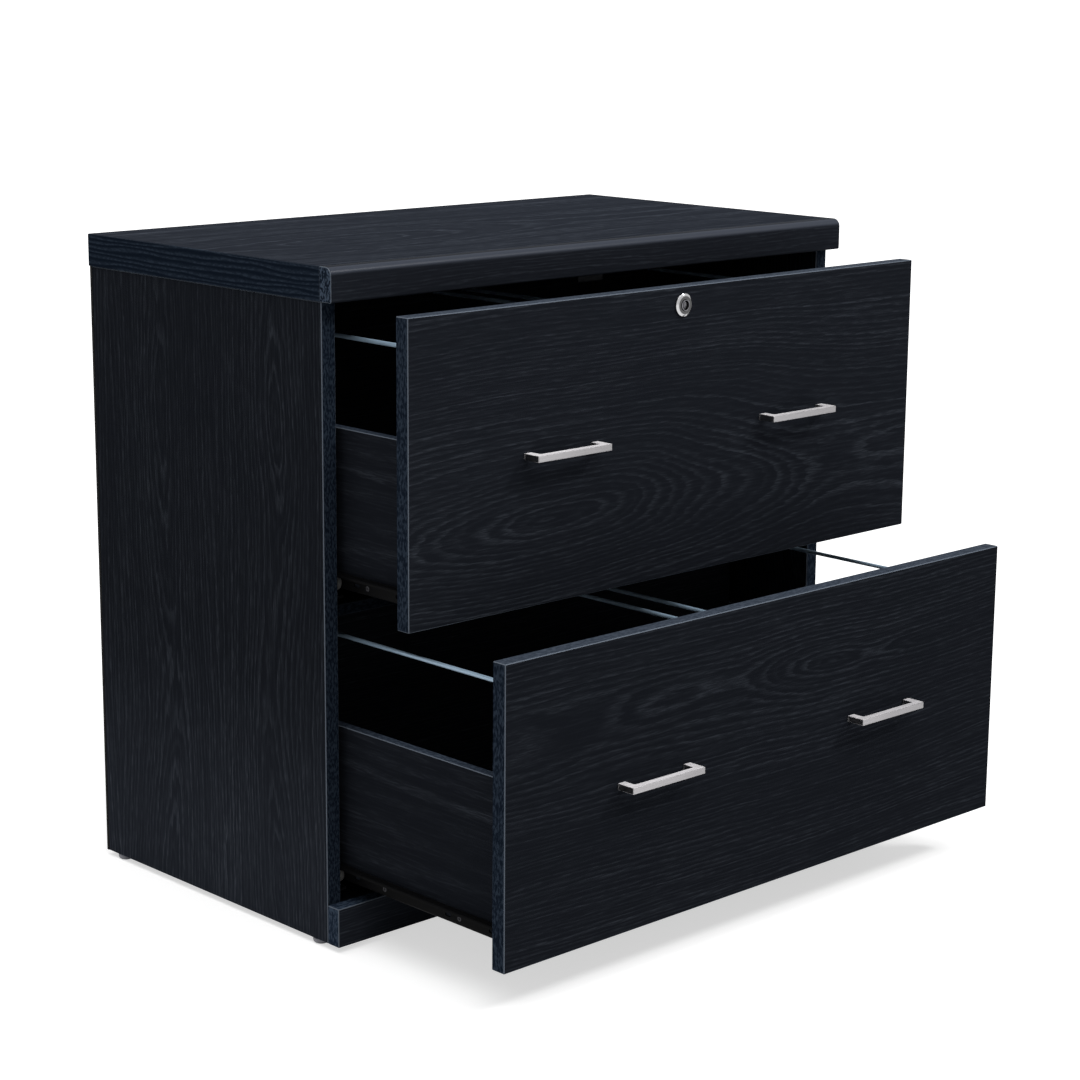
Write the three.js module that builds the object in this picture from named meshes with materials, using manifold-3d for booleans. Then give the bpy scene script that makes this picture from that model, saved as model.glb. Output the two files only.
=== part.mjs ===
// A lateral filing cabinet in dark wood-grain board: a carcase with two wide file drawers, both standing
// part-way out on roller slides, the upper one with a lock.
// Millimetres. +Z is up, the drawer fronts face -Y, and +X is to the right of someone who faces them.
import * as THREE from 'three';
import { mergeVertices } from 'three/addons/utils/BufferGeometryUtils.js';
import Module from 'manifold-3d';

const wasm = await Module();
wasm.setup();

// Carcase
const cabinetWidth = 780; // over the outer faces of the side panels
const sideDepth = 405; // front edge to back edge of a side panel
const sideHeight = 684;
const boardThickness = 18; // side panels, bottom panel, plinth and drawer fronts
const topThickness = 36;
const topSideOverhang = 2;
const nosingDepth = 18; // strip along the front of the top
const nosingRound = 9; // its upper front edge
const nosingLowerRound = 2;
const backPanelThickness = 3.5;
const plinthHeight = 43;
const bottomPanelDrop = 3; // top of the bottom panel below the top of the plinth
const midRailThickness = 12;
const midRailDepth = 70;
const midRailSetback = 12; // behind the front edges of the sides
const midRailDrop = 10; // top of the rail below the bottom of the upper drawer's sides, less the slide
const glideHeight = 6;
const glideRadius = 9;
const glideFlatRadius = 5; // the tread
const glideRim = 2; // straight part of the edge, under the side panel
const glidePinRadius = 1.4;
const glidePinLength = 15;
const glideInset = 22; // from the front and back edges of a side panel

// Drawers
const frontGap = 3; // between the fronts, and to the plinth and the top
const frontReveal = 1; // each end of a front to the outer face of the carcase
const closedGap = 2; // a shut front to the front edges of the sides
const drawerLift = 18; // bottom edge of a drawer side above the bottom edge of its front
const drawerSideThickness = 12;
const drawerSideHeight = 168;
const drawerBackThickness = 12;
const drawerBottomThickness = 3.4;
const drawerRearSpace = 35; // behind a shut drawer
const grooveDepth = 6; // for the drawer bottom
const grooveHeight = 10; // above the bottom edge of the sides
const upperOpening = 112; // how far the upper drawer stands out
const lowerShortOfStop = 13; // how far the lower drawer stands short of its stop

// File rails
const railRadius = 2.25;
const railDrop = 40; // axis below the top edge of a front
const railCover = 16; // top edge of the drawer back above the rail axis
const railSideInset = 10; // outer rail axis to the inner face of the drawer side
const railMiddleGap = 45; // between the two middle rails
const railSocketDepth = 9;

// Handles
const handlePitch = 96; // between the screws in the two legs
const handleLegWidth = 10;
const handleBarDepth = 8;
const handleBarHeight = 7;
const handleReach = 22; // face of the drawer to the face of the bar
const handleRise = 160; // above the bottom edge of the front
const handleOuterRound = 1.2;
const handleInnerRound = 2;

// Roller slides
const slideGap = 12.5; // carcase side to drawer side
const slideSteel = 1.2;
const slideTail = 20; // drawer side behind the end of its slide
const slideSetback = 2; // carcase channel behind the front edge of the side
const channelDrop = 9.6; // underside of the carcase channel below the drawer side
const channelLip = 2.8;
const flangeLip = 3.1;
const flangePassGap = 1.5; // drawer flange's lip above the carcase channel
const flangeSideGap = 1; // drawer flange to the web of the carcase channel
const webSideGap = 1.7; // carcase channel to the web of the drawer profile
const rollerRadius = 9;
const rollerEndGap = 3; // rim of a roller to the end of its profile, and to the roof of the channel
const rollerEdge = 0.9;
const rollerPlay = 0.4; // beside a roller
const rollerLift = 0.3; // between a roller and its track
const rollerBoreGap = 0.25;
const studRadius = 2.5;
const studCollarStep = 1.5; // collar and head of a stud, past the part that the roller turns on
const studHead = 0.7;
const stopSetback = 33; // stop tab behind the open mouth of the channel
const stopTabLength = 3;
const stopTabGap = 0.5;

// Lock on the upper drawer
const lockDrop = 20; // axis below the top edge of the front
const lockPlugRadius = 6;
const lockPlugProud = 0.6;
const lockBarrelWall = 2.7;
const lockBarrelReach = 13.4; // behind the back face of the front
const rosetteRim = 3.5; // rosette past the barrel
const rosetteBevel = 2.9;
const rosetteHeight = 3.2;
const keySlotWidth = 1.5;
const keySlotLength = 7;
const keySlotDepth = 10;
const lockNutSides = 6;
const lockNutWall = 1.5;
const lockNutThickness = 4;
const lockTang = 7; // square end of the plug
const lockTangEnd = 1.2; // tang beyond the cam
const lockCamWidth = 12;
const lockCamThickness = 2;
const camTipGap = 2; // below the flange of the strike
const strikeWidth = 38;
const strikeDrop = 10;
const strikeDepth = 18;
const strikeSteel = 1.2;
const strikeCamGap = 1; // strike's leg to the shut, locked cam

// Fits
const seatGap = 0.3; // joint line between pieces that touch
const arris = 0.8; // small chamfer along a board's edges
const socketGap = 0.3; // round a rail, a glide pin or the lock in its hole
const roundSides = 24; // facets round a roller, a stud or the lock
const smallSides = 16; // facets round a rail or a pin hole
const cornerSteps = 8; // facets round a quarter turn
const weldDistance = 1e-4; // corners closer than this are one corner

// Heights above the floor
const sideFoot = glideHeight + seatGap;
const sideTop = sideFoot + sideHeight;
const topUnderside = sideTop + seatGap;
const plinthTop = sideFoot + plinthHeight;
const frontHeight = (topUnderside - plinthTop - 3 * frontGap) / 2;
const lowerFrontFoot = plinthTop + frontGap;
const upperFrontFoot = lowerFrontFoot + frontHeight + frontGap;

// Half widths from the middle of the cabinet
const halfOuter = cabinetWidth / 2;
const halfInner = halfOuter - boardThickness;
const halfTop = halfOuter + topSideOverhang;
const halfFront = halfOuter - frontReveal;
const halfDrawer = halfInner - slideGap;
const halfDrawerInner = halfDrawer - drawerSideThickness;
const outerRailX = halfDrawerInner - railSideInset;
const innerRailX = railMiddleGap / 2;
const columnX = (outerRailX + innerRailX) / 2; // middle of one column of files

// Depths. In the carcase, y = 0 is the front edge of the side panels.
const backPanelY = sideDepth + seatGap;
const topBackY = backPanelY + backPanelThickness;

// A drawer's own frame: y = 0 at the back face of its front, z = 0 at the bottom edge of its sides
const drawerLength = sideDepth + closedGap - drawerRearSpace;
const drawerBackY = drawerLength - drawerBackThickness;
const slideStart = seatGap;
const slideLength = drawerLength - slideTail - slideStart;
const frontBottomZ = -drawerLift;
const frontTopZ = frontHeight - drawerLift;
const railZ = frontTopZ - railDrop;
const drawerBackTopZ = railZ + railCover;
const lockZ = frontTopZ - lockDrop;

// Section of a slide: u runs from the carcase side's inner face to the drawer, z is the drawer's
const channelWebU = seatGap + slideSteel;
const drawerWebU = slideGap - seatGap - slideSteel;
const channelEdgeU = drawerWebU - webSideGap;
const flangeEdgeU = channelWebU + flangeSideGap;
const channelFloorZ = -channelDrop + slideSteel;
const rearRollerZ = channelFloorZ + rollerLift + rollerRadius;
const channelRoofZ = rearRollerZ + rollerRadius + rollerLift;
const channelTopZ = channelRoofZ + slideSteel;
const flangeTopZ = channelTopZ + flangePassGap + flangeLip;
const frontRollerZ = flangeTopZ - slideSteel - rollerLift - rollerRadius;
const frontRollerU = [flangeEdgeU + slideSteel + rollerPlay, drawerWebU - 2 * seatGap - studHead];
const rearRollerU = [channelWebU + rollerPlay + studHead + seatGap, channelEdgeU - slideSteel - rollerPlay];
const studCollarRadius = studRadius + studCollarStep;

// Length of a slide: the front roller and the stop tab are on the carcase, the rear roller is on the drawer
const frontRollerY = slideSetback + rollerEndGap + rollerRadius;
const mouthEnd = frontRollerY + rollerRadius + rollerEndGap;
const stopTabY = [mouthEnd + stopSetback, mouthEnd + stopSetback + stopTabLength];
const stoppedRollerY = stopTabY[1] + stopTabGap + rollerRadius;
const rearRollerY = slideStart + slideLength - rollerEndGap - rollerRadius;
const slideTravel = rearRollerY - closedGap - stoppedRollerY;
const lowerOpening = slideTravel - lowerShortOfStop;

const finish = (color, roughness, metalness) => () =>
  new THREE.MeshStandardMaterial({ color, roughness, metalness });
const oakBoard = finish(0x15181f, 0.5, 0);
const hardboard = finish(0x17191d, 0.75, 0);
const blackSteel = finish(0x111214, 0.4, 0.3);
const railSteel = finish(0xaebcc6, 0.25, 1);
const satinNickel = finish(0xb9b7bc, 0.32, 1);
const lockChrome = finish(0xd9dadd, 0.14, 1);
const zincSteel = finish(0x9a9da0, 0.4, 1);
const nylon = finish(0xcfcfca, 0.55, 0);
const glidePlastic = finish(0x9c9ca0, 0.5, 0);

function named(name, geometry, material) {
  const mesh = new THREE.Mesh(geometry, material());
  mesh.name = name;
  return mesh;
}

// A mesh as a solid, in the frame of the group that will hold it.
function solidOf(mesh) {
  mesh.updateMatrix();
  const geometry = mesh.geometry.clone().applyMatrix4(mesh.matrix);
  geometry.deleteAttribute('normal');
  geometry.deleteAttribute('uv');
  const merged = mergeVertices(geometry, weldDistance);
  return new wasm.Manifold(
    new wasm.Mesh({
      numProp: 3,
      vertProperties: merged.attributes.position.array,
      triVerts: new Uint32Array(merged.index.array),
    }),
  );
}

function reshape(mesh, solid) {
  const made = solid.getMesh();
  const geometry = new THREE.BufferGeometry();
  geometry.setAttribute('position', new THREE.BufferAttribute(made.vertProperties, 3));
  geometry.setIndex(new THREE.BufferAttribute(made.triVerts, 1));
  mesh.geometry = geometry.applyMatrix4(mesh.matrix.clone().invert());
  return mesh;
}

const cut = (mesh, tools) =>
  reshape(mesh, tools.reduce((solid, tool) => solid.subtract(solidOf(tool)), solidOf(mesh)));
const join = (mesh, pieces) =>
  reshape(mesh, pieces.reduce((solid, piece) => solid.add(solidOf(piece)), solidOf(mesh)));

// A board with eased edges, given by its two ends along each axis.
function board(name, material, [x0, x1], [y0, y1], [z0, z1]) {
  const halfX = (x1 - x0) / 2;
  const halfY = (y1 - y0) / 2;
  const height = z1 - z0;
  const outline = new THREE.Shape();
  outline.moveTo(-halfX + arris, -halfY);
  outline.lineTo(halfX - arris, -halfY);
  outline.lineTo(halfX, -halfY + arris);
  outline.lineTo(halfX, halfY - arris);
  outline.lineTo(halfX - arris, halfY);
  outline.lineTo(-halfX + arris, halfY);
  outline.lineTo(-halfX, halfY - arris);
  outline.lineTo(-halfX, -halfY + arris);
  const geometry = new THREE.ExtrudeGeometry(outline, {
    depth: height - 2 * arris,
    bevelThickness: arris,
    bevelSize: arris,
    bevelOffset: -arris,
    bevelSegments: 1,
  });
  const mesh = named(name, geometry, material);
  mesh.position.set((x0 + x1) / 2, (y0 + y1) / 2, z0 + arris);
  return mesh;
}

// A square-edged block, for thin sheet and for cutting grooves.
function block(name, material, [x0, x1], [y0, y1], [z0, z1]) {
  const mesh = named(name, new THREE.BoxGeometry(x1 - x0, y1 - y0, z1 - z0), material);
  mesh.position.set((x0 + x1) / 2, (y0 + y1) / 2, (z0 + z1) / 2);
  return mesh;
}

// A round bar along y, from y0 to y1.
function barAlongY(name, material, radius, [y0, y1], sides) {
  const mesh = named(name, new THREE.CylinderGeometry(radius, radius, y1 - y0, sides), material);
  mesh.position.y = (y0 + y1) / 2;
  return mesh;
}

// An outline drawn in x and z, carried along +y.
function sweepAlongY(outline, length) {
  const options = { depth: length, bevelEnabled: false, curveSegments: roundSides / 2 };
  return new THREE.ExtrudeGeometry(outline, options).rotateX(Math.PI / 2).translate(0, length, 0);
}

const shapeOf = (points) => new THREE.Shape(points.map(([a, b]) => new THREE.Vector2(a, b)));
const turned = (points, sides) =>
  new THREE.LatheGeometry(points.map(([r, t]) => new THREE.Vector2(r, t)), sides);

function topPanel() {
  const heights = [topUnderside, topUnderside + topThickness];
  return board('top_panel', oakBoard, [-halfTop, halfTop], [0, topBackY], heights);
}

// The strip along the front of the top. Its section is drawn in y and z, with a rounded upper front edge.
function topNosing() {
  const frontY = -seatGap - nosingDepth;
  const section = new THREE.Shape();
  section.moveTo(-seatGap, 0);
  section.lineTo(-seatGap, topThickness);
  section.lineTo(frontY + nosingRound, topThickness);
  section.absarc(frontY + nosingRound, topThickness - nosingRound, nosingRound, Math.PI / 2, Math.PI);
  section.lineTo(frontY, nosingLowerRound);
  section.absarc(frontY + nosingLowerRound, nosingLowerRound, nosingLowerRound, Math.PI, 1.5 * Math.PI);
  const options = { depth: 2 * halfTop, bevelEnabled: false, curveSegments: cornerSteps };
  const mesh = named('top_nosing', new THREE.ExtrudeGeometry(section, options), oakBoard);
  mesh.rotation.set(Math.PI / 2, Math.PI / 2, 0);
  mesh.position.set(-halfTop, 0, topUnderside);
  return mesh;
}

const glidePlaces = [
  ['front', glideInset],
  ['back', sideDepth - glideInset],
];
const sides = [
  ['left', -1],
  ['right', 1],
];

function sidePanel(label, hand) {
  const across = [hand * halfInner, hand * halfOuter].sort((a, b) => a - b);
  const panel = board(`side_panel_${label}`, oakBoard, across, [0, sideDepth], [sideFoot, sideTop]);
  const pinHoles = glidePlaces.map(([, y]) => {
    const depth = glidePinLength + socketGap;
    const radius = glidePinRadius + socketGap;
    const drill = new THREE.CylinderGeometry(radius, radius, 2 * depth, smallSides);
    const hole = named('pin_hole', drill, oakBoard);
    hole.rotation.x = Math.PI / 2;
    hole.position.set(hand * (halfOuter - boardThickness / 2), y, sideFoot);
    return hole;
  });
  return cut(panel, pinHoles);
}

// A nail-in glide: a domed foot with a flat tread, and a pin up into the side panel.
function glide(name, x, y) {
  const dome = Array.from({ length: cornerSteps + 1 }, (_, i) => {
    const angle = (i / cornerSteps) * (Math.PI / 2);
    const radius = glideFlatRadius + (glideRadius - glideFlatRadius) * Math.sin(angle);
    return [radius, (glideHeight - glideRim) * (1 - Math.cos(angle))];
  });
  const profile = [
    [0, 0],
    ...dome,
    [glideRadius, glideHeight],
    [glidePinRadius, glideHeight],
    [glidePinRadius, glideHeight + glidePinLength],
    [0, glideHeight + glidePinLength],
  ];
  const mesh = named(name, turned(profile, roundSides), glidePlastic);
  mesh.rotation.x = Math.PI / 2;
  mesh.position.set(x, y, 0);
  return mesh;
}

function bottomPanel() {
  const top = plinthTop - bottomPanelDrop;
  const half = halfInner - seatGap;
  return board('bottom_panel', oakBoard, [-half, half], [0, sideDepth], [top - boardThickness, top]);
}

function plinth() {
  const depth = [-seatGap - boardThickness, -seatGap];
  return board('plinth', oakBoard, [-halfOuter, halfOuter], depth, [sideFoot, plinthTop]);
}

function backPanel() {
  const depth = [backPanelY, topBackY];
  return block('back_panel', hardboard, [-halfOuter, halfOuter], depth, [sideFoot, sideTop]);
}

function midRail() {
  const half = halfInner - seatGap;
  const top = upperFrontFoot + drawerLift - channelDrop - midRailDrop;
  const depth = [midRailSetback, midRailSetback + midRailDepth];
  return board('mid_rail', oakBoard, [-half, half], depth, [top - midRailThickness, top]);
}

// The angle under the top that the lock's cam catches behind.
const camStartY = lockBarrelReach + seatGap;
const strikeLegY = camStartY - closedGap - strikeCamGap - strikeSteel;

function lockStrike() {
  const corner = [
    [strikeLegY, 0],
    [strikeLegY, -strikeDrop],
    [strikeLegY + strikeSteel, -strikeDrop],
    [strikeLegY + strikeSteel, -strikeSteel],
    [strikeLegY + strikeDepth, -strikeSteel],
    [strikeLegY + strikeDepth, 0],
  ];
  const options = { depth: strikeWidth, bevelEnabled: false };
  const mesh = named('lock_strike', new THREE.ExtrudeGeometry(shapeOf(corner), options), zincSteel);
  mesh.rotation.set(Math.PI / 2, Math.PI / 2, 0);
  mesh.position.set(-strikeWidth / 2, 0, topUnderside - seatGap);
  return mesh;
}

// A stud along x that a roller turns on, from its root on a profile to the head that keeps the roller on.
function rollerStud(rootX, roller, y, z) {
  const outward = Math.sign(roller.far - rootX);
  const stretch = (from, to, radius) => {
    const shank = new THREE.CylinderGeometry(radius, radius, Math.abs(to - from), roundSides);
    const mesh = named('stud', shank, blackSteel);
    mesh.rotation.z = Math.PI / 2;
    mesh.position.set((from + to) / 2, y, z);
    return mesh;
  };
  const headStart = roller.far + outward * seatGap;
  const buried = rootX - (outward * slideSteel) / 2;
  return [
    stretch(buried, roller.near - outward * seatGap, studCollarRadius),
    stretch(buried, headStart + (outward * studHead) / 2, studRadius),
    stretch(headStart, headStart + outward * studHead, studCollarRadius),
  ];
}

// Carcase half of a slide: a channel for the drawer's rear roller, with a roller of its own in front.
function carcaseSlide(name, hand, drawerZ) {
  const atU = (u) => hand * (halfInner - u);
  const section = [
    [seatGap, -channelDrop],
    [channelEdgeU, -channelDrop],
    [channelEdgeU, -channelDrop + channelLip],
    [channelEdgeU - slideSteel, -channelDrop + channelLip],
    [channelEdgeU - slideSteel, channelFloorZ],
    [channelWebU, channelFloorZ],
    [channelWebU, channelRoofZ],
    [channelEdgeU - slideSteel, channelRoofZ],
    [channelEdgeU - slideSteel, channelTopZ - channelLip],
    [channelEdgeU, channelTopZ - channelLip],
    [channelEdgeU, channelTopZ],
    [seatGap, channelTopZ],
  ];
  const outline = shapeOf(section.map(([u, z]) => [atU(u), z]));
  const channel = named(name, sweepAlongY(outline, slideLength), blackSteel);
  channel.position.set(0, slideSetback, drawerZ);

  // The roof stops short of the front roller, which stands higher than the channel.
  const across = [atU(channelWebU), atU(slideGap)].sort((a, b) => a - b);
  const mouthHeights = [drawerZ + channelFloorZ + channelLip, drawerZ + flangeTopZ];
  cut(channel, [block('mouth', blackSteel, across, [0, mouthEnd], mouthHeights)]);

  // A tab pressed down from the roof stops the rear roller when the drawer is fully out.
  const tabAcross = rearRollerU.map(atU).sort((a, b) => a - b);
  const tabHeights = [drawerZ + rearRollerZ, drawerZ + channelTopZ - slideSteel / 2];
  const tab = block('stop_tab', blackSteel, tabAcross, stopTabY, tabHeights);
  const [near, far] = frontRollerU.map(atU);
  const stud = rollerStud(atU(channelWebU), { near, far }, frontRollerY, drawerZ + frontRollerZ);
  return join(channel, [tab, ...stud]);
}

// Drawer half of a slide: it wraps the bottom edge of the drawer side and carries a flange over the front
// roller and, at its back end, the stud of the rear roller.
function drawerSlide(name, hand) {
  const atU = (u) => hand * (halfInner - u);
  const section = [
    [drawerWebU, -seatGap - slideSteel],
    [slideGap + drawerSideThickness, -seatGap - slideSteel],
    [slideGap + drawerSideThickness, -seatGap],
    [slideGap - seatGap, -seatGap],
    [slideGap - seatGap, flangeTopZ],
    [flangeEdgeU, flangeTopZ],
    [flangeEdgeU, flangeTopZ - flangeLip],
    [flangeEdgeU + slideSteel, flangeTopZ - flangeLip],
    [flangeEdgeU + slideSteel, flangeTopZ - slideSteel],
    [drawerWebU, flangeTopZ - slideSteel],
  ];
  const outline = shapeOf(section.map(([u, z]) => [atU(u), z]));
  const profile = named(name, sweepAlongY(outline, slideLength), blackSteel);
  profile.position.y = slideStart;
  const [far, near] = rearRollerU.map(atU);
  return join(profile, rollerStud(atU(drawerWebU), { near, far }, rearRollerY, rearRollerZ));
}

function roller(name, [u0, u1], hand, y, z) {
  const half = (u1 - u0) / 2;
  const bore = studRadius + rollerBoreGap;
  const section = [
    [bore, -half],
    [rollerRadius - rollerEdge, -half],
    [rollerRadius, -half + rollerEdge],
    [rollerRadius, half - rollerEdge],
    [rollerRadius - rollerEdge, half],
    [bore, half],
    [bore, -half],
  ];
  const mesh = named(name, turned(section, roundSides), nylon);
  mesh.rotation.z = Math.PI / 2;
  mesh.position.set(hand * (halfInner - (u0 + u1) / 2), y, z);
  return mesh;
}

const railPlaces = [
  ['left', -outerRailX],
  ['middle_left', -innerRailX],
  ['middle_right', innerRailX],
  ['right', outerRailX],
];
const railEnds = [-railSocketDepth + seatGap, drawerBackY + railSocketDepth - seatGap];

function railSockets([y0, y1]) {
  return railPlaces.map(([, x]) => {
    const socket = barAlongY('socket', oakBoard, railRadius + socketGap, [y0, y1], smallSides);
    socket.position.x = x;
    socket.position.z = railZ;
    return socket;
  });
}

// The cut that the drawer bottom slides into, a joint line larger all round than the bottom itself.
const drawerBottomHalf = halfDrawerInner + grooveDepth - seatGap;
const drawerBottomEnds = [-grooveDepth + seatGap, drawerBackY + grooveDepth - seatGap];

function bottomGroove() {
  const half = drawerBottomHalf + seatGap;
  const ends = [drawerBottomEnds[0] - seatGap, drawerBottomEnds[1] + seatGap];
  const heights = [grooveHeight, grooveHeight + drawerBottomThickness + 2 * seatGap];
  return block('groove', oakBoard, [-half, half], ends, heights);
}

function drawerFront(label, hasLock) {
  const depth = [-boardThickness, 0];
  const front = board(`${label}_front`, oakBoard, [-halfFront, halfFront], depth, [frontBottomZ, frontTopZ]);
  const cuts = [bottomGroove(), ...railSockets([-railSocketDepth, railSocketDepth])];
  if (hasLock) {
    const ends = [-2 * boardThickness, boardThickness];
    const lockHole = barAlongY('lock_hole', oakBoard, lockBarrelRadius + socketGap, ends, roundSides);
    lockHole.position.z = lockZ;
    cuts.push(lockHole);
  }
  return cut(front, cuts);
}

function drawerSide(label, sideLabel, hand) {
  const across = [hand * halfDrawerInner, hand * halfDrawer].sort((a, b) => a - b);
  const name = `${label}_side_${sideLabel}`;
  const side = board(name, oakBoard, across, [seatGap, drawerLength], [0, drawerSideHeight]);
  return cut(side, [bottomGroove()]);
}

// The back stands higher than the sides, because it holds the far ends of the file rails.
function drawerBack(label) {
  const half = halfDrawerInner - seatGap;
  const depth = [drawerBackY, drawerLength];
  const back = board(`${label}_back`, oakBoard, [-half, half], depth, [0, drawerBackTopZ]);
  const socketEnds = [drawerBackY - railSocketDepth, drawerBackY + railSocketDepth];
  return cut(back, [bottomGroove(), ...railSockets(socketEnds)]);
}

function drawerBottom(label) {
  const across = [-drawerBottomHalf, drawerBottomHalf];
  const heights = [grooveHeight + seatGap, grooveHeight + seatGap + drawerBottomThickness];
  return block(`${label}_bottom`, hardboard, across, drawerBottomEnds, heights);
}

// A bar pull in the shape of a square U, drawn from above with its feet on the drawer's face.
function handle(name, x) {
  const halfOut = (handlePitch + handleLegWidth) / 2;
  const halfIn = halfOut - handleLegWidth;
  const barBack = handleReach - handleBarDepth;
  const outer = { x: halfOut - handleOuterRound, y: -handleReach + handleOuterRound, r: handleOuterRound };
  const inner = { x: halfIn - handleInnerRound, y: -barBack + handleInnerRound, r: handleInnerRound };
  const plan = new THREE.Shape();
  plan.moveTo(halfIn, 0);
  plan.lineTo(halfOut, 0);
  plan.lineTo(halfOut, outer.y);
  plan.absarc(outer.x, outer.y, outer.r, 0, -Math.PI / 2, true);
  plan.lineTo(-outer.x, -handleReach);
  plan.absarc(-outer.x, outer.y, outer.r, -Math.PI / 2, -Math.PI, true);
  plan.lineTo(-halfOut, 0);
  plan.lineTo(-halfIn, 0);
  plan.lineTo(-halfIn, inner.y);
  plan.absarc(-inner.x, inner.y, inner.r, Math.PI, 1.5 * Math.PI);
  plan.lineTo(inner.x, -barBack);
  plan.absarc(inner.x, inner.y, inner.r, 1.5 * Math.PI, 2 * Math.PI);
  const options = { depth: handleBarHeight, bevelEnabled: false, curveSegments: cornerSteps };
  const mesh = named(name, new THREE.ExtrudeGeometry(plan, options), satinNickel);
  mesh.position.set(x, -boardThickness - seatGap, frontBottomZ + handleRise - handleBarHeight / 2);
  return mesh;
}

// Lock: a bevelled rosette with a barrel through the front, held by a nut behind it.
const lockFaceY = -boardThickness - seatGap - rosetteHeight;
const lockBoreRadius = lockPlugRadius + socketGap;
const lockBarrelRadius = lockBoreRadius + lockBarrelWall;
const rosetteRadius = lockBarrelRadius + rosetteRim;

function lockHousing() {
  const section = [
    [lockBoreRadius, lockFaceY],
    [rosetteRadius - rosetteBevel, lockFaceY],
    [rosetteRadius, lockFaceY + rosetteHeight / 2],
    [rosetteRadius, -boardThickness - seatGap],
    [lockBarrelRadius, -boardThickness - seatGap],
    [lockBarrelRadius, lockBarrelReach],
    [lockBoreRadius, lockBarrelReach],
    [lockBoreRadius, lockFaceY],
  ];
  const mesh = named('lock_housing', turned(section, roundSides), lockChrome);
  mesh.position.z = lockZ;
  return mesh;
}

function lockNut() {
  const boreRadius = lockBarrelRadius + socketGap;
  const cornerRadius = (boreRadius + lockNutWall) / Math.cos(Math.PI / lockNutSides);
  const corners = Array.from({ length: lockNutSides }, (_, i) => {
    const angle = (i * 2 * Math.PI) / lockNutSides;
    return [cornerRadius * Math.cos(angle), cornerRadius * Math.sin(angle)];
  });
  const hexagon = shapeOf(corners);
  const bore = new THREE.Path();
  bore.absarc(0, 0, boreRadius, 0, 2 * Math.PI);
  hexagon.holes.push(bore);
  const mesh = named('lock_nut', sweepAlongY(hexagon, lockNutThickness), zincSteel);
  mesh.position.set(0, seatGap, lockZ);
  return mesh;
}

// The turning plug: a key slot in front, and a square tang behind that drives the cam.
function lockPlug() {
  const plugEnds = [lockFaceY - lockPlugProud, lockBarrelReach];
  const plug = barAlongY('lock_plug', lockChrome, lockPlugRadius, plugEnds, roundSides);
  plug.position.z = lockZ;
  const halfTang = lockTang / 2;
  const tangDepth = [lockBarrelReach - seatGap, camStartY + lockCamThickness + lockTangEnd];
  const tangHeights = [lockZ - halfTang, lockZ + halfTang];
  const tang = block('tang', lockChrome, [-halfTang, halfTang], tangDepth, tangHeights);
  const slotAcross = [-keySlotLength / 2, keySlotLength / 2];
  const slotDepth = [plugEnds[0] - keySlotDepth, plugEnds[0] + keySlotDepth];
  const slotHeights = [lockZ - keySlotWidth / 2, lockZ + keySlotWidth / 2];
  return cut(join(plug, [tang]), [block('key_slot', lockChrome, slotAcross, slotDepth, slotHeights)]);
}

// The cam points sideways while the drawer is unlocked, and up behind the strike when locked.
function lockCam() {
  const half = lockCamWidth / 2;
  const reach = lockDrop + frontGap - seatGap - strikeSteel - camTipGap;
  const arm = new THREE.Shape();
  arm.absarc(0, 0, half, Math.PI / 2, 1.5 * Math.PI);
  arm.lineTo(reach, -half);
  arm.lineTo(reach, half);
  const squareHalf = lockTang / 2 + socketGap;
  const square = new THREE.Path();
  square.moveTo(-squareHalf, -squareHalf);
  square.lineTo(squareHalf, -squareHalf);
  square.lineTo(squareHalf, squareHalf);
  square.lineTo(-squareHalf, squareHalf);
  arm.holes.push(square);
  const mesh = named('lock_cam', sweepAlongY(arm, lockCamThickness), zincSteel);
  mesh.position.set(0, camStartY, lockZ);
  return mesh;
}

function drawer(label, opening, frontFoot, hasLock) {
  const group = new THREE.Group();
  group.position.set(0, -closedGap - opening, frontFoot + drawerLift);
  group.add(drawerFront(label, hasLock), drawerBack(label), drawerBottom(label));
  for (const [sideLabel, hand] of sides) {
    group.add(drawerSide(label, sideLabel, hand));
    group.add(drawerSlide(`${label}_slide_${sideLabel}`, hand));
    group.add(roller(`${label}_rear_roller_${sideLabel}`, rearRollerU, hand, rearRollerY, rearRollerZ));
    group.add(handle(`${label}_handle_${sideLabel}`, hand * columnX));
  }
  for (const [railLabel, x] of railPlaces) {
    const name = `${label}_file_rail_${railLabel}`;
    const rail = barAlongY(name, railSteel, railRadius, railEnds, smallSides);
    rail.position.x = x;
    rail.position.z = railZ;
    group.add(rail);
  }
  if (hasLock) group.add(lockHousing(), lockNut(), lockPlug(), lockCam());
  return group;
}

const drawers = [
  ['upper_drawer', upperOpening, upperFrontFoot, true],
  ['lower_drawer', lowerOpening, lowerFrontFoot, false],
];

const cabinet = new THREE.Group();
cabinet.add(topPanel(), topNosing(), bottomPanel(), plinth(), backPanel(), midRail(), lockStrike());
for (const [sideLabel, hand] of sides) {
  cabinet.add(sidePanel(sideLabel, hand));
  for (const [endLabel, y] of glidePlaces) {
    cabinet.add(glide(`glide_${endLabel}_${sideLabel}`, hand * (halfOuter - boardThickness / 2), y));
  }
}
for (const [label, opening, frontFoot, hasLock] of drawers) {
  const drawerZ = frontFoot + drawerLift;
  for (const [sideLabel, hand] of sides) {
    cabinet.add(carcaseSlide(`${label}_channel_${sideLabel}`, hand, drawerZ));
    const rollerZ = drawerZ + frontRollerZ;
    cabinet.add(roller(`${label}_front_roller_${sideLabel}`, frontRollerU, hand, frontRollerY, rollerZ));
  }
  cabinet.add(drawer(label, opening, frontFoot, hasLock));
}

// The origin is on the floor, under the middle of the cabinet with its drawers out as they stand here.
const frontmostY = -closedGap - lowerOpening - boardThickness - seatGap - handleReach;
cabinet.position.y = -(frontmostY + topBackY) / 2;

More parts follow.
